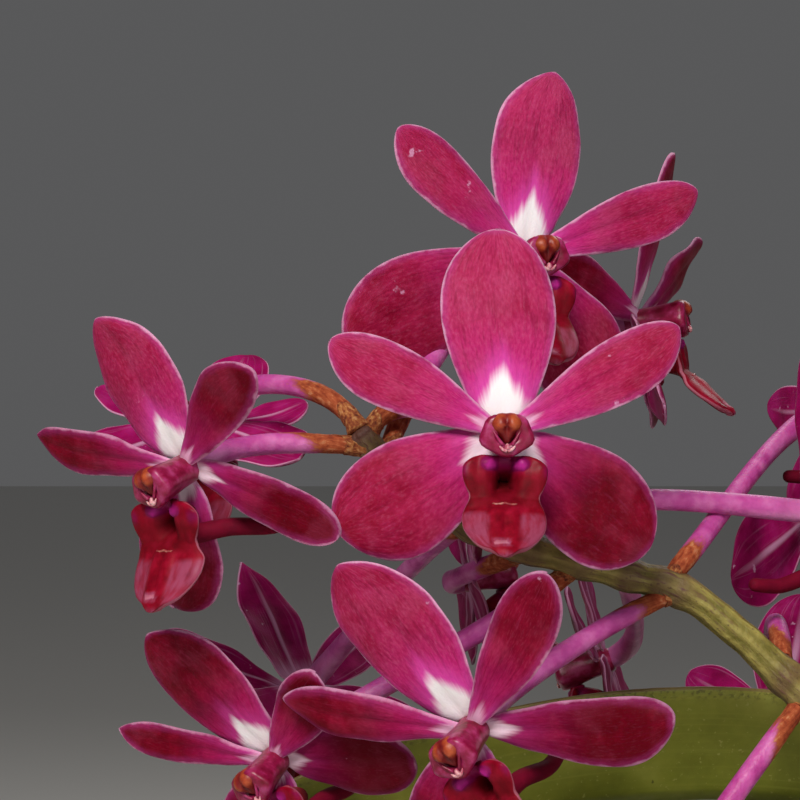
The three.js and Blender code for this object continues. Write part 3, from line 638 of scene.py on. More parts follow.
# The pedicel: a smooth juicy stalk, orchid pink, which turns rust orange and scurfy at its foot
def pedicel_skin(tree):
    along, pale, tone = (
        add(tree, "Attribute", attribute_name=mark, out="Fac") for mark in ("along", "pale", "tone")
    )
    pink = add(
        tree, "ValToRGB", speckle(tree, 2.6, seed=12),
        stops=[(0.3, "#b03488"), (0.5, "#c650a0"), (0.72, "#d878b8")],
    )
    ridge = add(tree, "Math", pale, 0.5, operation="MULTIPLY")
    ridged = add(tree, "Mix", ridge, pink, "#dca0cc", **COLOURS)
    fresh = add(tree, "MapRange", along, 0.7, 1.0, 0.0, 0.45, **SMOOTH)
    shaded = add(tree, "Mix", fresh, ridged, "#d494c2", **COLOURS)
    scurf = streaks(tree, 3, 14, 420, 5)
    grit = speckle(tree, 0.7, detail=6, seed=13)
    rough = add(tree, "Math", grit, 0.5, operation="MULTIPLY")
    rough = add(tree, "Math", scurf, 0.5, rough, operation="MULTIPLY_ADD")
    rust = add(
        tree, "ValToRGB", rough,
        stops=[(0.34, "#6a2416"), (0.45, "#923e1e"), (0.55, "#ac5630"), (0.68, "#c48a62")],
    )
    spread = add(tree, "Math", rough, 1.2, tone, operation="MULTIPLY_ADD")
    rusted = add(tree, "MapRange", spread, 0.8, 1.3, **SMOOTH)
    face = add(tree, "Mix", rusted, shaded, rust, **COLOURS)
    relief = add(tree, "Mix", rusted, speckle(tree, 0.5, detail=5), rough, data_type="FLOAT")
    normal = add(tree, "Bump", 0.7, 0.15 * MM, named={"Height": relief})
    return add(tree, "BsdfPrincipled", named={
        "Base Color": face, "Roughness": add(tree, "MapRange", rusted, 0.0, 1.0, 0.38, 0.85),
        "IOR": 1.4, "Normal": normal, "Subsurface Weight": 0.15, "Subsurface Scale": 0.0006,
    })


# The papery scale at a pedicel's foot: dead bract tissue, dry, fibrous, tan to rust brown
def dry_bract(tree):
    fibre = streaks(tree, 3, 5, 420, 6)
    grit = speckle(tree, 0.45, detail=6, seed=14)
    both = add(tree, "Math", fibre, grit, operation="ADD")
    both = add(tree, "Math", both, 0.5, operation="MULTIPLY")
    paper = add(
        tree, "ValToRGB", both,
        stops=[(0.34, "#4a1c12"), (0.46, "#8c4424"), (0.56, "#b0703c"), (0.68, "#cfa074")],
    )
    normal = add(tree, "Bump", 0.9, 0.3 * MM, named={"Height": both})
    return add(tree, "BsdfPrincipled", named={
        "Base Color": paper, "Roughness": 0.88, "IOR": 1.45, "Normal": normal,
    })


# The stalk's skin: ridged olive stem, waxy, mottled purple-brown, most at its nodes
def stalk_skin(tree):
    pale, tone = (add(tree, "Attribute", attribute_name=mark, out="Fac") for mark in ("pale", "tone"))
    cloud = speckle(tree, 2.2, detail=5, seed=15)
    ridged = add(tree, "Math", pale, 0.14, cloud, operation="MULTIPLY_ADD")
    green = add(
        tree, "ValToRGB", ridged,
        stops=[(0.28, "#6c6626"), (0.46, "#857b3a"), (0.62, "#9a8f48"), (0.8, "#aca256")],
    )
    streak = streaks(tree, 5, 40, 60, 5)
    brown = add(tree, "MapRange", streak, 0.54, 0.68, 0.0, 0.5, **SMOOTH)
    brown = add(tree, "Math", tone, 0.7, brown, operation="MULTIPLY_ADD", use_clamp=True)
    browned = add(tree, "Mix", brown, green, "#66443a", **COLOURS)
    dots = speckle(tree, 0.5, seed=16)
    dots = add(tree, "MapRange", dots, 0.62, 0.7, 0.0, 0.55, **SMOOTH)
    face = add(tree, "Mix", dots, browned, "#4c2a32", **COLOURS)
    relief = add(tree, "Math", streak, speckle(tree, 0.6, detail=5), operation="ADD")
    normal = add(tree, "Bump", 0.7, 0.25 * MM, named={"Height": relief})
    return add(tree, "BsdfPrincipled", named={
        "Base Color": face, "Roughness": 0.52, "IOR": 1.42, "Normal": normal,
        "Subsurface Weight": 0.05, "Subsurface Scale": 0.001,
    })


# A leaf: thick leathery blade with a waxy skin, fine veins along it, pale pores, a few dark
# scars, specks by its edge and a thin dry margin
def leaf_skin(tree, deep, middle, light, roughness):
    along, edge = (add(tree, "Attribute", attribute_name=mark, out="Fac") for mark in ("along", "edge"))
    cloud = speckle(tree, 12, detail=5, seed=17)
    green = add(tree, "ValToRGB", cloud, stops=[(0.36, deep), (0.52, middle), (0.68, light)])
    vein = streaks(tree, 26, 3, 8, 4)
    pale = add(tree, "MapRange", vein, 0.52, 0.72, 0.0, 0.25, **SMOOTH)
    veined = add(tree, "Mix", pale, green, light, **COLOURS)
    pores = speckle(tree, 0.55, detail=2, seed=18)
    pores = add(tree, "MapRange", pores, 0.64, 0.72, 0.0, 0.5, **SMOOTH)
    pored = add(tree, "Mix", pores, veined, "#a8a860", **COLOURS)
    scar = speckle(tree, 1.7, detail=2, seed=19)
    scar = add(tree, "MapRange", scar, 0.7, 0.75, 0.0, 0.7, **SMOOTH)
    border = add(tree, "MapRange", edge, 1.9, 0.3, **SMOOTH)
    specks = speckle(tree, 0.5, detail=4, seed=20)
    specks = add(tree, "MapRange", specks, 0.46, 0.66, 0.0, 0.6, **SMOOTH)
    specks = add(tree, "Math", specks, border, operation="MULTIPLY")
    marks = add(tree, "Math", scar, specks, operation="MAXIMUM")
    spotted = add(tree, "Mix", marks, pored, "#3a3216", **COLOURS)
    rim = add(tree, "MapRange", edge, 0.28, 0.12, 0.0, 0.85, **SMOOTH)
    rimmed = add(tree, "Mix", rim, spotted, "#7c6a3c", **COLOURS)
    tip = add(tree, "MapRange", along, 0.97, 1.0, 0.0, 0.6, **SMOOTH)
    face = add(tree, "Mix", tip, rimmed, "#7a6236", **COLOURS)
    relief = add(tree, "Math", vein, speckle(tree, 1.2), operation="ADD")
    normal = add(tree, "Bump", 0.3, 0.08 * MM, named={"Height": relief})
    gloss = add(tree, "MapRange", speckle(tree, 3, seed=21), 0.3, 0.7, roughness - 0.08, roughness + 0.1)
    return add(tree, "BsdfPrincipled", named={
        "Base Color": face, "Roughness": gloss, "IOR": 1.42, "Normal": normal,
        "Subsurface Weight": 0.05, "Subsurface Scale": 0.001,
    })


# A leaf's sheath: the same skin grown old and dry, straw and brown at the foot, ribbed along
def sheath_skin(tree):
    pale = add(tree, "Attribute", attribute_name="pale", out="Fac")
    where = add(tree, "TexCoord", out="Object")
    height = add(tree, "SeparateXYZ", where, out=2)
    fibre = speckle(tree, 1.3, (1, 1, 0.06), 5, seed=22)
    fresh = add(tree, "ValToRGB", fibre, stops=[(0.35, "#4c5420"), (0.52, "#6f7834"), (0.7, "#93985a")])
    dry = add(tree, "ValToRGB", fibre, stops=[(0.35, "#4d3320"), (0.52, "#84643e"), (0.7, "#b3966a")])
    age = add(tree, "Math", speckle(tree, 6, seed=23), 0.03, height, operation="MULTIPLY_ADD")
    age = add(tree, "Math", pale, -0.03, age, operation="MULTIPLY_ADD")
    aged = add(tree, "MapRange", age, 0.13, 0.1, **SMOOTH)
    face = add(tree, "Mix", aged, fresh, dry, **COLOURS)
    normal = add(tree, "Bump", 0.8, 0.35 * MM, named={"Height": fibre})
    return add(tree, "BsdfPrincipled", named={
        "Base Color": face, "Roughness": 0.6, "IOR": 1.45, "Normal": normal,
    })


# A root's velamen: dead spongy skin, silver grey when dry, with a green growing tip
def velamen(tree):
    tone = add(tree, "Attribute", attribute_name="tone", out="Fac")
    cloud = speckle(tree, 1.8, detail=6, seed=24)
    skin = add(tree, "ValToRGB", cloud, stops=[(0.3, "#7d7a66"), (0.48, "#aeab98"), (0.7, "#d0cdbf")])
    stain = speckle(tree, 5, seed=25)
    stain = add(tree, "MapRange", stain, 0.5, 0.68, 0.0, 0.6, **SMOOTH)
    stained = add(tree, "Mix", stain, skin, "#7f8052", **COLOURS)
    crown = add(tree, "MapRange", tone, 0.55, 1.0, **SMOOTH)
    tip = add(tree, "Mix", crown, "#66803a", "#5a2c3a", **COLOURS)
    growing = add(tree, "MapRange", tone, 0.05, 0.3, **SMOOTH)
    face = add(tree, "Mix", growing, stained, tip, **COLOURS)
    relief = add(tree, "Math", cloud, speckle(tree, 0.4), operation="ADD")
    normal = add(tree, "Bump", 0.7, 0.3 * MM, named={"Height": relief})
    return add(tree, "BsdfPrincipled", named={
        "Base Color": face, "Roughness": 0.82, "IOR": 1.4, "Normal": normal,
    })


# Orchid bark: chipped fir bark, corky layers of rust and grey brown
def cork_bark(tree):
    tone = add(tree, "Attribute", attribute_name="tone", out="Fac")
    layers = speckle(tree, 4, (1, 1, 3.5), 6, seed=26)
    layered = add(tree, "Math", tone, 0.35, layers, operation="MULTIPLY_ADD")
    cork = add(
        tree, "ValToRGB", layered,
        stops=[(0.42, "#2c1a12"), (0.6, "#533322"), (0.74, "#7a4e33"), (0.92, "#a07a58")],
    )
    grain = speckle(tree, 0.7, detail=6, seed=27)
    relief = add(tree, "Math", layers, grain, operation="ADD")
    normal = add(tree, "Bump", 0.9, 0.9 * MM, named={"Height": relief})
    return add(tree, "BsdfPrincipled", named={
        "Base Color": cork, "Roughness": 0.93, "IOR": 1.45, "Normal": normal,
    })


# The pot: low-fired red clay, thrown, unglazed, with lime bloom and a little green low down
def fired_clay(tree):
    where = add(tree, "TexCoord", out="Object")
    height = add(tree, "SeparateXYZ", where, out=2)
    clay = add(
        tree, "ValToRGB", speckle(tree, 16, detail=5, seed=28),
        stops=[(0.3, "#9c5233"), (0.5, "#b3643f"), (0.72, "#c67f58")],
    )
    lime = speckle(tree, 20, detail=7, seed=29, roughness=0.65)
    lime = add(tree, "MapRange", lime, 0.53, 0.72, 0.0, 0.55, **SMOOTH)
    limed = add(tree, "Mix", lime, clay, "#d9c2ae", **COLOURS)
    low = add(tree, "MapRange", height, 0.06, 0.0, 0.0, 0.55, **SMOOTH)
    damp = speckle(tree, 9, detail=6, seed=30)
    damp = add(tree, "MapRange", damp, 0.5, 0.7, **SMOOTH)
    moss = add(tree, "Math", damp, low, operation="MULTIPLY")
    mossy = add(tree, "Mix", moss, limed, "#6f7146", **COLOURS)
    grit = speckle(tree, 0.5, detail=4, seed=31)
    pits = add(tree, "MapRange", grit, 0.7, 0.76, 0.0, 0.5, **SMOOTH)
    face = add(tree, "Mix", pits, mossy, "#7a4028", **COLOURS)
    # The wheel's turning lines, 1.4 mm apart, with the grit between them
    turning = speckle(tree, 1.4, (0.05, 0.05, 1), 3, seed=32)
    relief = add(tree, "Math", grit, 0.6, turning, operation="MULTIPLY_ADD")
    normal = add(tree, "Bump", 0.7, 0.25 * MM, named={"Height": relief})
    return add(tree, "BsdfPrincipled", named={
        "Base Color": face, "Roughness": 0.9, "IOR": 1.5, "Normal": normal,
    })


TEPAL_FACE = finish("orchid_tepal_face", tepal_face)
TEPAL_BACK = finish("orchid_tepal_back", tepal_back)
COLUMN_FLESH = finish("orchid_column_flesh", column_flesh)
ANTHER_HOOD = finish("orchid_anther_cap", anther_hood)
BEAK = finish("orchid_beak", beak_membrane)
LIP_FLESH = finish("orchid_lip_flesh", lip_flesh)
CALLUS_WAX = finish("orchid_callus", callus_wax)
PEDICEL_SKIN = finish("orchid_pedicel_skin", pedicel_skin)
DRY_BRACT = finish("dry_bract_paper", dry_bract)
STALK_SKIN = finish("orchid_stalk_skin", stalk_skin)
LEAF_TOP = finish("orchid_leaf_top", leaf_skin, "#37480f", "#4c6019", "#68782c", 0.4)
LEAF_UNDER = finish("orchid_leaf_underside", leaf_skin, "#6d7222", "#848930", "#9d9f44", 0.48)
SHEATH_SKIN = finish("orchid_leaf_sheath", sheath_skin)
VELAMEN = finish("root_velamen", velamen)
CORK_BARK = finish("fir_bark_chips", cork_bark)
FIRED_CLAY = finish("terracotta", fired_clay)


# The flowers

def flower_frame(flower):
    """A flower's own frame, from its place and the way it faces, in millimetres."""
    yaw, pitch, roll = (math.radians(angle) for angle in flower["faces"])
    forward = Vector((
        math.sin(yaw) * math.cos(pitch), -math.cos(yaw) * math.cos(pitch), math.sin(pitch),
    ))
    right = Quaternion(forward, -roll) @ Vector((math.cos(yaw), math.sin(yaw), 0))
    turn = Matrix((right, forward.cross(right), forward)).transposed()
    at = RACEME + Vector(flower["at"])
    return Matrix.Translation(at) @ turn.to_4x4() @ Matrix.Scale(flower["size"], 4)


def tepal_half_width(shape, along):
    if along < shape["widest"]:
        swell = math.sin(math.pi / 2 * along / shape["widest"]) ** 1.4
        half = mix(shape["base"], shape["half"], swell)
    else:
        past = (along - shape["widest"]) / (1 - shape["widest"])
        half = shape["half"] * max(0, 1 - past ** 2.3) ** mix(0.5, 0.85, shape["point"])
    return mix(HEEL["half"], half, ease(along / 0.12))


def draw_tepal(bm, home, shape, tone, seed):
    """A tepal on its own line, with the hollow midrib, wavy sides and uneven skin of a grown one."""
    lean, sway, twist = (math.radians(shape[key]) for key in ("angle", "sway", "twist"))
    length = shape["length"] + HEEL["reach"]

    def place(across, along):
        angle, half_angle = lean + sway * along, lean + sway * along / 2
        lift = math.radians(shape["lift"] + shape["curl"] * along)
        half_lift = math.radians(shape["lift"] + shape["curl"] * along / 2)
        reach = length * along
        flat = reach * math.cos(half_lift)
        point = Vector((
            shape["root"] * math.sin(lean) + flat * math.sin(half_angle),
            shape["root"] * math.cos(lean) + flat * math.cos(half_angle),
            shape["set"] + reach * math.sin(half_lift),
        ))
        ahead = Vector((
            math.sin(angle) * math.cos(lift), math.cos(angle) * math.cos(lift), math.sin(lift),
        ))
        aside = Quaternion(ahead, -twist * along) @ Vector((math.cos(angle), -math.sin(angle), 0))
        normal = aside.cross(ahead)
        half = tepal_half_width(shape, along)
        swing = noise.noise(Vector((along * 2.2, seed, 1))) * 0.35 * along
        swing += shape["skew"] * max(0, (along - shape["widest"]) / (1 - shape["widest"])) ** 2
        point += aside * (half * across + swing)
        bend = shape["cup"] * half * across * across
        bend -= 0.22 * bell(across * half, 0.4) * math.sin(math.pi * min(1, along * 1.05)) ** 0.5
        side = 1 if across > 0 else -1
        wave = noise.noise(Vector((along * 3.4, side * 4, seed)))
        bend += 0.75 * wave * across ** 4 * ease(along / 0.3)
        bend += 0.3 * noise.noise(point * 0.24 + Vector((seed, 0, 0))) * ease(along / 0.2)
        point += normal * bend
        edge = min(half * (1 - abs(across)), length * (1 - along) * 1.2)
        marks = {"edge": edge, "flare": shape["flare"], "tone": tone + shape["tone"]}
        return home @ point, (home.to_3x3() @ normal).normalized(), marks

    blade(bm, place, thickness=0.65, columns=22, rows=34, back=1, blunt=5)


# Rings of the column from its back to the bottom of the stigma's hollow: how far forward each
# lies, the height of its middle, half its width, half its own height, and how hollow it is
COLUMN_RINGS = [
    (-1.7, -0.3, 0, 0, 0), (-1.5, -0.3, 1.4, 1.3, 0), (-0.6, -0.3, 1.8, 1.6, 0),
    (1.2, -0.3, 1.9, 1.7, 0), (3.0, -0.3, 2.2, 1.9, 0), (4.6, -0.3, 2.6, 2.1, 0), (5.3, -0.3, 2.68, 2.15, 0),
    (5.7, -0.3, 2.45, 2.0, 0), (5.85, -0.3, 2.0, 1.6, 0), (5.85, -0.35, 1.5, 1.2, 0),
    (5.7, -0.45, 1.05, 0.85, 0.2), (5.2, -0.5, 0.7, 0.6, 0.9), (4.9, -0.5, 0, 0, 1),
]


def draw_column(bm, home):
    """The column with the anther cap over the stigma's hollow and the pale beak below it."""
    last = len(COLUMN_RINGS) - 1
    count, sides = last * 3, 28

    def ring_at(share):
        place = share * last
        index = min(int(place), last - 1)
        near = [COLUMN_RINGS[max(0, min(last, index + step))] for step in (-1, 0, 1, 2)]
        t = place - index
        return [
            0.5 * (
                2 * b + (c - a) * t + (2 * a - 5 * b + 4 * c - d) * t * t
                + (3 * b - a - 3 * c + d) * t ** 3
            )
            for a, b, c, d in zip(*near)
        ]

    verts, _ = grid(bm, sides, count, 0)
    for vert in verts:
        turn = (vert.co.x + 1) * math.pi
        forward, height, wide, tall, hollow = ring_at(round((vert.co.y + 1) / 2 * count) / count)
        if abs(vert.co.y) >= 1 - 1e-6:
            wide = tall = 0
        # The face is a rounded five-sided shield, widest above its middle
        shield = 1 + 0.06 * math.cos(5 * (turn + math.pi / 2)) * ease(forward / 5)
        narrow = 1 - 0.22 * hollow * max(0, -math.sin(turn))
        local = Vector((
            wide * narrow * shield * math.cos(turn), height + tall * shield * math.sin(turn), forward,
        ))
        # The hollow's depth goes to the flesh as a mark, where it is darkened as painted shade
        move(bm, vert, home @ local, {"pale": -hollow})

    # The hood: two lobes above, drawn down between the shield's flanks to the beak
    cap = bmesh.ops.create_uvsphere(bm, u_segments=sides, v_segments=18, radius=1)["verts"]
    for vert in cap:
        x, y, z = vert.co
        lobed = ease((y + 0.5 - 0.35 * bell(x, 0.2)) / 0.4)
        seam = bell(x, 0.16) * max(0, z + 0.3)
        narrow = mix(0.35, 1, ease((y + 0.9) / 1.0))
        height = 0.62 + 1.35 * y + 0.6 * min(0, y) - 0.14 * lobed * bell(x, 0.25)
        forward = z * mix(0.95, 1.45, lobed) * (1 - 0.22 * seam) + 5.1
        local = Vector((x * 1.75 * narrow, height, forward))
        pale = lobed * (1.1 * bell(abs(x) - 0.52, 0.32) - 0.1) - 0.5 * (1 - lobed)
        move(bm, vert, home @ local, {"pale": pale})
    paint(cap, 1)
    for side in (-1, 1):
        ridge = [
            (side * 1.45, 0.3, 5.7), (side * 1.1, -0.35, 5.85), (side * 0.75, -0.9, 5.9),
            (side * 0.4, -1.35, 5.9),
        ]
        draw_thread(bm, home, ridge, lambda along: mix(0.12, 0.2, along), 0)
        wing = [(0, -1.9, 6.0), (side * 0.4, -1.8, 6.05), (side * 0.8, -1.4, 5.95)]
        draw_thread(bm, home, wing, lambda along: mix(0.24, 0.08, along), 2)
    beak = [(0, -1.2, 5.8), (0, -1.5, 6.0), (0, -1.8, 6.0)]
    draw_thread(bm, home, beak, lambda along: mix(0.15, 0.32, along), 2)


def paint(verts, slot):
    for face in {face for vert in verts for face in vert.link_faces}:
        face.material_index = slot
        face.smooth = True


def draw_thread(bm, home, points, radius_at, slot):
    """A slim rod with domed ends along a smooth line."""
    steps = 10
    stops = spaced(steps, 0.8)
    line = [home @ through(points, share) for share in stops]
    size = home.to_scale().x

    def radius(turn, along):
        share = stops[round(along * steps)]
        return size * radius_at(share) * rounded(share, 0.15)
    rod(bm, line, radius, sides=8, slot=slot)


def pedicel_line(flower, steps):
    """The pedicel's line from the stalk to the back of its flower, and its length."""
    home = flower_frame(flower)
    root = RACEME + through(STALK, flower["stalk"] / (len(STALK) - 1))
    stops = [
        root, root + Vector(flower["out"]), home @ Vector((0, -0.2, -8)), home @ Vector((0, -0.2, -0.8)),
    ]

    def at(t):
        weights = ((1 - t) ** 3, 3 * t * (1 - t) ** 2, 3 * t * t * (1 - t), t ** 3)
        return sum((stop * weight for stop, weight in zip(stops, weights)), Vector())
    points = [at(i / steps) for i in range(steps + 1)]
    length = sum((b - a).length for a, b in zip(points, points[1:]))
    return points, length


def outer_side(seed):
    """The side of a pedicel where its rust reaches furthest and its dry scale is longest."""
    return (0.5 + 0.5 * noise.noise(Vector((seed, 9, 0)))) * math.tau


def draw_pedicel(bm, flower, seed):
    """A juicy stalk, slimmer and scurfy at its foot, that swells into the ridged ovary."""
    points, length = pedicel_line(flower, steps=60)
    outside = outer_side(seed)

    def place(turn, along):
        from_foot = length * along
        ovary = ease((along - 0.6) / 0.3)
        radius = mix(PEDICEL["radius"], PEDICEL["ovary_radius"], ovary)
        radius -= PEDICEL["foot_slimmer"] * (1 - ease(from_foot / 7))
        radius += 0.1 * noise.noise(Vector((along * 4, seed, 0)))
        ridge = math.cos(3 * turn + 5 * along)
        radius *= 1 + 0.07 * ovary * ridge
        radius *= mix(1, 0.85, ease((along - 0.93) / 0.07))
        reach = 7.4 + 2 * math.cos(turn - outside) + 1.5 * noise.noise(Vector((seed, turn, 3)))
        rust = 1 - ease((from_foot - reach + 3) / 5)
        spot = Vector((math.cos(turn) * 2, math.sin(turn) * 2, from_foot * 1.3 + seed))
        radius += 0.08 * rust * noise.noise(spot)
        if along in (0, 1):
            radius = 0
        marks = {"pale": max(0, ridge) * ovary, "across": turn, "tone": rust}
        return radius * math.cos(turn), radius * math.sin(turn), marks
    tube(bm, frames_along(points), place, sides=20)


def draw_bract(bm, flower, seed):
    """The dry scale that clasps the pedicel's foot, split to a ragged point on one side."""
    steps = 160
    points, length = pedicel_line(flower, steps)
    reach = 3.8 + noise.noise(Vector((seed, 5, 0)))
    count = max(4, round(steps * reach / length))
    frames = frames_along(points)
    outside = outer_side(seed)
    for outer in (True, False):
        verts, faces = grid(bm, columns=24, rows=20, slot=1)
        for vert in verts:
            turn = (vert.co.x + 1) * math.pi
            along = (vert.co.y + 1) / 2
            tip = mix(0.6, 1, (0.5 + 0.5 * math.cos(turn - outside)) ** 3)
            tip += 0.07 * noise.noise(Vector((math.cos(turn) * 3, math.sin(turn) * 3, seed)))
            middle, side, above = frames[min(len(frames) - 1, round(count * along * tip))]
            rough = noise.noise(Vector((math.cos(turn) * 1.6, math.sin(turn) * 1.6, along * 4 + seed)))
            radius = mix(1.3, 1.05, ease(along * 1.5)) + 0.1 * rough
            if not outer:
                radius -= 0.14 * math.sqrt(max(0, min(1, (1 - along) * 8)))
            if along < 1e-6:
                radius = 0
            local = side * (radius * math.cos(turn)) + above * (radius * math.sin(turn))
            move(bm, vert, middle + local, {"across": turn, "along": along})
        if not outer:
            bmesh.ops.reverse_faces(bm, faces=faces)


# The lip from under the column to the tongue's tip: height, half width and how far forward its
# middle stands, which sinks into the throat and climbs out along the tongue
LIP_ROWS = [
    (-2.3, 2.3, 3.4), (-2.55, 3.2, 3.4), (-3.1, 3.95, 3.2), (-3.9, 4.22, 1.6), (-4.8, 4.1, 0.7),
    (-5.6, 3.8, 1.5), (-6.3, 3.5, 3.6), (-7.0, 3.58, 5.1), (-7.8, 3.95, 6.0), (-8.7, 4.15, 6.8),
    (-9.7, 4.0, 7.6), (-10.6, 3.4, 8.35), (-11.4, 2.45, 8.95), (-11.85, 1.25, 9.35), (-12.4, 0.8, 9.8),
]


def draw_lip(bm, home, lean, veil, broad):
    """The lip: two flared side lobes beside a hollow throat painted dark as shade, a round tongue
    under a pale veil, and a slim spur."""
    turn = home.to_3x3()

    def shape(across, along):
        height, half, middle = through(LIP_ROWS, along)
        half *= broad * math.sqrt(max(0, 1 - along ** 30))
        width = half * across
        wide = abs(width)
        # Each lobe is a rounded ear with a knob at its inner top, steep towards the throat
        steep = ease((wide - 0.6) / 1.1)
        ear = 4.1 - 0.16 * (height + 3) + 0.3 * ease((wide - 2.4) / 1.6)
        ear += 0.15 * bell(wide - 2.8, 1.1) * bell(height + 4.3, 1.3)
        ear = mix(middle, ear, steep) + 0.5 * bell(wide - 1.65, 0.45) * bell(height + 3.15, 0.4)
        # Two keels run down the tongue to a folded tip, and its sides curl under
        keel = 0.35 * bell(wide - 0.8, 0.45) * ease((-6.8 - height) / 1.5)
        keel *= 1 - ease((-10.7 - height) / 1.5)
        rise = 4.7 + 0.92 * max(0, -6.6 - height)
        tongue = mix(middle, min(rise, middle + 1.5), steep) + keel
        tongue -= 0.05 * ease((-6.5 - height) / 2) * wide ** 2
        tongue += 0.5 * bell(width, 0.8) * bell(height + 11.75, 0.45)
        forward = mix(ear, tongue, ease((-6 - height) / 1.3))
        local = Vector((width, height, forward))
        return local + Vector((0, 0, 0.12 * noise.noise(local))), half

    def face(across, along):
        local, half = shape(across, along)
        step = 0.01
        ahead = shape(across, min(1, along + step))[0] - shape(across, max(0, along - step))[0]
        aside = shape(across + step, min(along, 0.98))[0] - shape(across - step, min(along, 0.98))[0]
        normal = ahead.cross(aside).normalized()
        wide, height = abs(local.x), local.y
        tone = 1.25 * bell(wide - 1.6, 0.5) * bell(height + 3.25, 0.42)
        tone += 0.5 * bell(math.hypot(wide - 1.6, height + 3), 1.1)
        tone = min(2, tone + 0.7 * bell(wide, 0.9) * bell(height + 2.8, 0.7))
        tone += 0.6 * ease((wide - 3.4) / 0.6) * bell(height + 3.8, 0.8)
        edge = half * (1 - abs(across)) + 0.06 * (1 - ease((-5 - height) / 1.5))
        # The throat's hollow is marked for painted shade, and a band over the lower lobes and waist is marked
        # darker
        pale = -bell(wide, 0.85) * bell(height + 4.85, 0.95)
        pale -= 0.5 * ease((-3.4 - height) / 1.6) * ease((8.6 + height) / 1.6)
        pale += 0.85 * veil * ease((wide - 0.75) / 1.2) * ease((-7.6 - height) / 1.2)
        # A pale block above the folded tip, and the tip's own pale end
        pale += 1.45 * ease((0.95 - abs(local.x + 0.25)) / 0.3) * ease((0.5 - abs(height + 11.2)) / 0.3)
        pale += 1.4 * bell(wide, 0.6) * bell(height + 12.1, 0.22)
        edge = min(edge, 1.5 * (height + 12.5))
        marks = {"edge": edge, "tone": tone, "pale": pale, "across": across * 0.8}
        return home @ local, (turn @ normal).normalized(), marks
    blade(bm, lambda across, along: face(across, 1 - along), thickness=0.9, columns=36, rows=50)

    # The callus stands as a pale fold over the tongue's root
    fold = [(-1.25, -7.05), (-0.6, -7.2), (0, -7.0), (0.6, -7.2), (1.25, -7.05)]
    row = 7 / (len(LIP_ROWS) - 1)
    fold = [(x, y, shape(x / 3.6, row)[0].z + 0.86) for x, y in fold]
    draw_thread(bm, home, fold, lambda along: 0.12 + 0.06 * bell(abs(along - 0.5) - 0.25, 0.12), 1)

    stops = [(0, -6.9, 2.4), (lean / 2, -7.2, -1), (lean, -8.6, -5), (lean, -8.6, -9)]
    steps = 20
    spaces = spaced(steps, 0.8)
    line = [home @ through(stops, share) for share in spaces]
    size = home.to_scale().x

    def spur(turned, along):
        share = spaces[round(along * steps)]
        return size * mix(1.1, 0.75, share) * rounded(share, 0.06)
    rod(bm, line, spur, sides=14, marks={"edge": 5, "tone": 0.4, "pale": -0.6})


def make_flower(number, flower):
    seed = number * 7.3
    home = flower_frame(flower)
    bm = drawing()
    for place, (name, shape) in enumerate(TEPALS.items()):
        draw_tepal(bm, home, {**shape, **flower.get(name, {})}, flower["tone"], seed + place * 3.1)
    bloom, lip = f"bloom_{number:02d}", f"lip_{number:02d}"
    piece(f"{bloom}_tepals", bm, [TEPAL_FACE, TEPAL_BACK], [bloom])

    bm = drawing()
    draw_column(bm, home)
    piece(f"{bloom}_column", bm, [COLUMN_FLESH, ANTHER_HOOD, BEAK], [bloom])

    bm = drawing()
    draw_pedicel(bm, flower, seed)
    draw_bract(bm, flower, seed)
    piece(f"{bloom}_pedicel", bm, [PEDICEL_SKIN, DRY_BRACT], [bloom])

    bm = drawing()
    sway = Matrix.Rotation(math.radians(flower.get("lip_sway", 0)), 4, "Z")
    lean, veil, broad = flower.get("spur_lean", 0), flower.get("lip_veil", 1), flower.get("lip_broad", 1)
    draw_lip(bm, home @ sway, lean, veil, broad)
    piece(f"{lip}_flesh", bm, [LIP_FLESH, CALLUS_WAX], [lip])


def make_stalk():
    """The ridged stalk, swollen and brown at each pedicel."""
    steps = 240
    nodes = [RACEME + through(STALK, flower["stalk"] / (len(STALK) - 1)) for flower in FLOWERS]
    points = [RACEME + through(STALK, i / steps) for i in range(steps + 1)]
    frames = frames_along(points)

    def place(turn, along):
        middle = points[round(along * steps)]
        near = min((middle - node).length for node in nodes)
        swell = bell(near, 1.7)
        ridge = math.cos(7 * turn + 3 * along)
        radius = mix(2.05, 0.95, along ** 1.3) + 0.4 * swell
        radius += 0.07 * ridge + 0.04 * math.cos(3 * turn + 12 * along)
        radius += 0.1 * noise.noise(middle * 0.45 + Vector((math.cos(turn), math.sin(turn), 0)))
        radius *= rounded(along, 0.02)
        tone = swell * (0.75 + 0.5 * noise.noise(middle * 0.9)) + ease((along - 0.93) / 0.07)
        marks = {"across": turn, "tone": tone, "pale": ridge}
        return radius * math.cos(turn), radius * math.sin(turn), marks
    bm = drawing()
    tube(bm, frames, place, sides=36)
    piece("flower_stalk_rachis", bm, [STALK_SKIN], ["flower_stalk"])


# The leaves, stem and roots

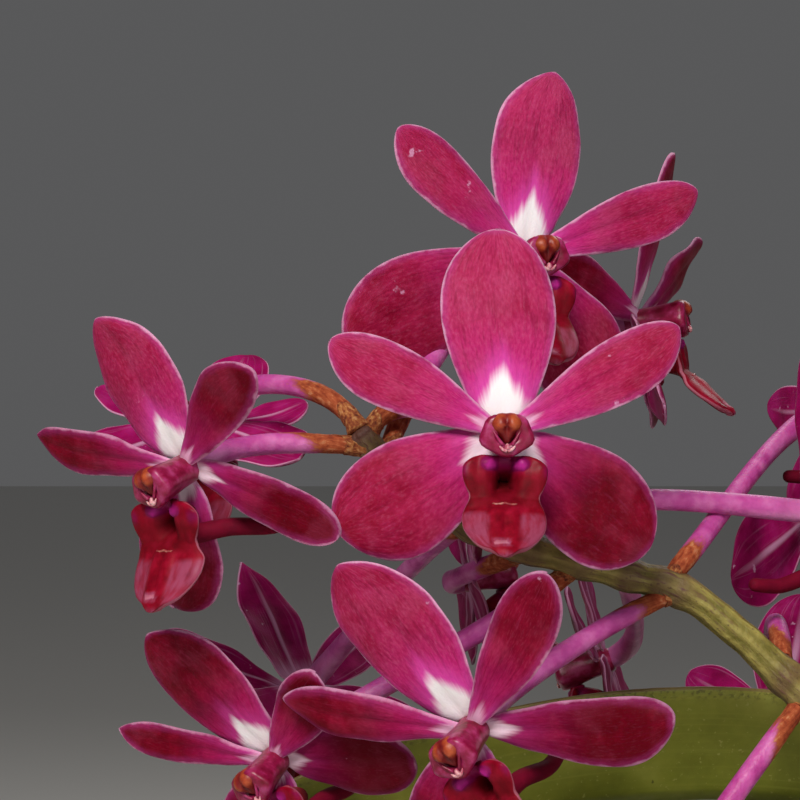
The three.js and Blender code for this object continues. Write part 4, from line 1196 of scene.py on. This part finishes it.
def make_leaf(name, seed):
    """A strap leaf: a folded channel arching to an unequally two-lobed tip."""
    side, height, length, rise, droop, turn, full_half = LEAVES[name]
    start = Vector((side * (STEM["reach"] - 1), 0, height))
    turn = math.radians(turn)
    outward = Vector((side * math.cos(turn), side * math.sin(turn), 0))
    up = Vector((0, 0, 1))
    sideways = outward.cross(up)
    bend = math.radians(droop - rise)
    radius = length / bend

    def place(across, along):
        wide = abs(across)
        longer = 1 if across > 0 else -1
        lobe = mix(-LEAF["notch"], LEAF["lobe"] * longer * (1 - wide), ease(wide / 0.3))
        distance = along + lobe / length * along ** 6
        slope = math.radians(rise) + bend * distance
        run = radius * (math.sin(slope) - math.sin(math.radians(rise)))
        climb = radius * (math.cos(math.radians(rise)) - math.cos(slope))
        heading = outward * math.cos(slope) + up * math.sin(slope)
        rolled = Quaternion(heading, math.radians(LEAF_ROLL.get(name, 0)) * ease(along / 0.3))
        beside, above = rolled @ sideways, rolled @ sideways.cross(heading)
        widen = math.sin(math.pi / 2 * min(1, along / 0.42))
        taper = math.sqrt(1 - (max(0, along - 0.5) / 0.62) ** 2.4)
        half = mix(0.45, 1, widen) * full_half * taper
        fold = math.radians(mix(LEAF["base_fold"], LEAF["fold"], widen)) * (1 - 0.3 * wide * along)
        slant = math.sqrt(across * across + LEAF["keel"] ** 2)
        keel, tilt = slant - LEAF["keel"], across / slant
        point = start + outward * run + up * climb
        point += beside * (half * across * math.cos(fold)) + above * (half * keel * math.sin(fold))
        normal = (above * math.cos(fold) - beside * (tilt * math.sin(fold))).normalized()
        point += normal * (0.35 * noise.noise(Vector((along * 5, across * 1.5, seed))) * ease(along / 0.15))
        edge = min(half * (1 - wide), length * (1 - along))
        return point, normal, {"edge": edge}
    bm = drawing()
    blade(
        bm, lambda across, along: place(-across, along), LEAF["thickness"], columns=26, rows=90,
        back=1, blunt=12, foot=0.01,
    )
    bmesh.ops.recalc_face_normals(bm, faces=bm.faces)
    piece(f"{name}_blade", bm, [LEAF_TOP, LEAF_UNDER], [name])


def make_stem():
    """The stem in its leaf sheaths, each a flattened sleeve that clasps the next one up."""
    bm = drawing()
    steps = 26
    stops = spaced(steps, 0.7)
    for index, (side, height, *_) in enumerate(LEAVES.values()):
        low, middle = Vector((0, 0, height - STEM["sheath"])), Vector((0, 0, height - STEM["reach"]))
        mouth = Vector((side * STEM["reach"], 0, height))
        line = [low * (1 - t) ** 2 + middle * (2 * t * (1 - t)) + mouth * t * t for t in stops]

        def sleeve(turn, along, index=index):
            share = stops[round(along * steps)]
            rough = 0.3 * noise.noise(Vector((math.cos(turn), share * 3, index * 5)))
            grown = mix(STEM["foot_radius"], STEM["mouth_radius"], share)
            grown += 0.12 * math.cos(16 * turn) + rough
            return grown * rounded(share, 0.04)
        rod(bm, line, sleeve, sides=40)

    def foot(turn, along):
        return (4.6 + 0.2 * math.cos(14 * turn)) * rounded(along, 0.04)
    line = [Vector((0, 0, mix(STEM["foot"], STEM["foot_top"], t))) for t in spaced(20, 0.7)]
    rod(bm, line, foot, sides=36, marks={"pale": 1})
    for vert in bm.verts:
        vert.co.y *= STEM["flatness"]
    piece("stem_sheaths", bm, [SHEATH_SKIN], ["stem"])


def make_root(name, seed):
    """A thick aerial root, uneven along its length, with a domed tip."""
    radius, stops = ROOTS[name]
    steps = 110
    shares = spaced(steps, 0.5)
    line = [through(stops, share) for share in shares]
    # Only a root that hangs outside the pot shows its growing tip
    tip = 1 if stops[-1][2] < ROOT_HANGS_BELOW else 0

    def place(turn, along):
        share = shares[round(along * steps)]
        grown = radius * (1 - 0.2 * share) * rounded(share, 0.03)
        spot = Vector((math.cos(turn) * 0.6, math.sin(turn) * 0.6, share * 12 + seed))
        grown *= 1 + 0.1 * noise.noise(spot) + 0.05 * noise.noise(spot * 2.7)
        return grown * math.cos(turn), grown * math.sin(turn), {"tone": tip * ease((share - 0.86) / 0.14)}
    bm = drawing()
    tube(bm, frames_along(line), place, sides=20)
    piece(f"{name}_velamen", bm, [VELAMEN], [name])


# The pot and its bark

def spun(bm, outline, segments):
    """A closed outline of radius and height pairs turned about the pot's middle."""
    points = [bm.verts.new((radius, 0, height)) for radius, height in outline]
    edges = [bm.edges.new(pair) for pair in zip(points, points[1:])]
    bmesh.ops.spin(
        bm, geom=points + edges, cent=(0, 0, 0), axis=(0, 0, 1), angle=math.tau, steps=segments,
        use_merge=True,
    )
    bmesh.ops.remove_doubles(bm, verts=bm.verts, dist=WELD)
    for face in bm.faces:
        face.smooth = True
    bmesh.ops.recalc_face_normals(bm, faces=bm.faces)


def softened(outline, radius, count=4):
    """An outline with each inner corner turned into a small round."""
    soft = [Vector(outline[0])]
    for before, corner, after in zip(outline, outline[1:], outline[2:]):
        corner = Vector(corner)
        into, out = Vector(before) - corner, Vector(after) - corner
        reach = min(radius, into.length * 0.45, out.length * 0.45)
        start, end = corner + into.normalized() * reach, corner + out.normalized() * reach
        for i in range(count + 1):
            t = i / count
            soft.append(start * (1 - t) ** 2 + corner * (2 * t * (1 - t)) + end * t * t)
    return soft + [Vector(outline[-1])]


def pot_wall(inset, height):
    """The radius of the pot's wall at a height, an inset in from its outside."""
    if height < POT["shoulder_height"]:
        return mix(POT["base"], POT["shoulder"], height / POT["shoulder_height"]) - inset
    over = (height - POT["shoulder_height"]) / (POT["height"] - POT["shoulder_height"])
    return mix(POT["shoulder"], POT["rim"], over) - inset


def make_pot():
    """The clay pot: a turned body with a rolled rim band, bored with three drain holes."""
    wall, floor, top = POT["wall"], POT["floor"], POT["height"]
    outline = [
        (0, 0), (POT["base"], 0), (POT["shoulder"], POT["shoulder_height"]),
        (POT["band"], POT["shoulder_height"]), (POT["rim"], top), (POT["rim"] - wall, top),
        (POT["shoulder"] - wall, POT["shoulder_height"]), (pot_wall(wall, floor), floor), (0, floor),
    ]
    bm = drawing()
    spun(bm, softened(outline, radius=1.6), segments=160)
    bores = drawing()
    for i in range(POT["holes"]):
        angle = i / POT["holes"] * math.tau + POT["hole_turn"]
        reach = POT["hole_circle"]
        place = Matrix.Translation((reach * math.cos(angle), reach * math.sin(angle), floor / 2))
        bmesh.ops.create_cone(
            bores, cap_ends=True, segments=32, radius1=POT["hole"], radius2=POT["hole"],
            depth=2.5 * floor, matrix=place,
        )
    bores.transform(Matrix.Scale(MM, 4))
    cutter_mesh = bpy.data.meshes.new("drain_bores")
    bores.to_mesh(cutter_mesh)
    bores.free()
    cutter = bpy.data.objects.new("drain_bores", cutter_mesh)
    bpy.context.scene.collection.objects.link(cutter)
    pot = piece("pot_clay", bm, [FIRED_CLAY], ["pot"])
    bored = pot.modifiers.new("drain_bores", "BOOLEAN")
    bored.object, bored.operation, bored.solver = cutter, "DIFFERENCE", "EXACT"
    shape = bpy.data.meshes.new_from_object(pot.evaluated_get(bpy.context.evaluated_depsgraph_get()))
    pot.modifiers.clear()
    pot.data = shape
    bpy.data.objects.remove(cutter)


def make_bark():
    """Bark in the pot: a packed mass, with loose chips of split bark lying on it."""
    draw = random.Random(11)
    bm = drawing()
    # The mass stops a little short of the clay, and below the loose chips
    clear = POT["wall"] + 0.6
    low, high = POT["floor"] + 0.4, BARK_TOP - 2.5
    outline = [(0, low)]
    outline += [(pot_wall(clear, height), height) for height in (low, 30, 50, 69, high)]
    outline += [(radius, high + 0.6 * math.sin(radius)) for radius in (36, 30, 24, 18, 12, 6, 0)]
    spun(bm, outline, segments=72)
    for vert in bm.verts:
        if vert.co.z > high - 1 and vert.co.xy.length > 0.1:
            vert.co.z += 1.4 * noise.noise(vert.co * 0.25)
    for i in range(CHIP["count"]):
        reach = CHIP["spread"] * math.sqrt((i + 0.5) / CHIP["count"])
        angle = i * 2.4 + 0.3 * draw.random()
        size = draw.uniform(0.65, 1.15)
        long, wide, thick = CHIP["length"] * size, CHIP["width"] * size, draw.uniform(2.4, 4.2)
        height = BARK_TOP - 1.5 + draw.uniform(0, 3.2)
        reach = min(reach, pot_wall(clear, height) - 5.5 * size)
        spot = Matrix.Translation((reach * math.cos(angle), reach * math.sin(angle), height))
        spot @= Matrix.Rotation(draw.uniform(0, math.tau), 4, "Z")
        spot @= Matrix.Rotation(draw.uniform(-0.5, 0.5), 4, "X")
        spot @= Matrix.Rotation(draw.uniform(-0.35, 0.35), 4, "Y")
        tone, seed = draw.random(), draw.uniform(0, 90)
        for vert in bmesh.ops.create_icosphere(bm, subdivisions=3, radius=1)["verts"]:
            # A ball pressed to a blunt block with ragged, split ends
            block = vert.co / sum(abs(axis) ** 5 for axis in vert.co) ** 0.2 * 0.5
            ragged = noise.noise(block * 2.6 + Vector((seed, 0, 0)))
            local = Vector((
                block.x * long * (1 + 0.3 * ragged), block.y * wide * (1 + 0.22 * ragged), block.z * thick,
            ))
            local.z += 0.9 * noise.noise(local * 0.25 + Vector((0, seed, 0)))
            point = spot @ local
            point += Vector((1, 1, 1)) * (0.3 * noise.noise(point * 0.9))
            most = pot_wall(clear, point.z) / max(1e-6, point.xy.length)
            if most < 1:
                point.x, point.y = point.x * most, point.y * most
            move(bm, vert, point, {"tone": tone})
    for face in bm.faces:
        face.smooth = True
    piece("bark_chips", bm, [CORK_BARK], ["bark_bed"])


for number, flower in enumerate(FLOWERS, 1):
    make_flower(number, flower)
make_stalk()
for number, name in enumerate(LEAVES):
    make_leaf(name, number * 4.7)
make_stem()
for number, name in enumerate(ROOTS):
    make_root(name, number * 9.1)
make_pot()
make_bark()


# The floor and the light

# The floor: a matt paper sweep, off-white, with nothing drawn on it
def paper_floor(tree):
    normal = add(tree, "Bump", 0.2, 0.05 * MM, named={"Height": speckle(tree, 2, seed=40)})
    return add(tree, "BsdfPrincipled", named={"Base Color": "#d9d7d2", "Roughness": 0.95, "Normal": normal})


bm = bmesh.new()
bmesh.ops.create_grid(bm, x_segments=1, y_segments=1, size=6)
floor_mesh = bpy.data.meshes.new("studio_floor")
bm.to_mesh(floor_mesh)
bm.free()
floor_mesh.materials.append(finish("studio_paper", paper_floor))
floor = bpy.data.objects.new("studio_floor", floor_mesh)
bpy.context.scene.collection.objects.link(floor)


def lamp(name, place, aim, size, watts, tint):
    light = bpy.data.lights.new(name, "AREA")
    light.shape, light.size, light.energy, light.color = "DISK", size, watts, colour(tint)[:3]
    obj = bpy.data.objects.new(name, light)
    obj.location = place
    obj.rotation_euler = (Vector(aim) - Vector(place)).to_track_quat("-Z", "Y").to_euler()
    bpy.context.scene.collection.objects.link(obj)


heart = tuple((RACEME + Vector((0, 10, -5))) * MM)
lamp("key_light", (-0.28, -0.8, 0.8), heart, 0.4, 10, "#fffaf4")
lamp("fill_light", (0.35, -0.9, 0.2), heart, 0.7, 1.6, "#f4f6ff")
lamp("rim_light", (0.25, 0.7, 0.7), heart, 0.5, 2, "#ffffff")
world = bpy.data.worlds.new("studio")
world.use_nodes = True
world.node_tree.nodes["Background"].inputs[0].default_value = colour("#d4d4d6")
world.node_tree.nodes["Background"].inputs[1].default_value = 0.15
bpy.context.scene.world = world
bpy.context.scene.view_settings.view_transform = "Standard"
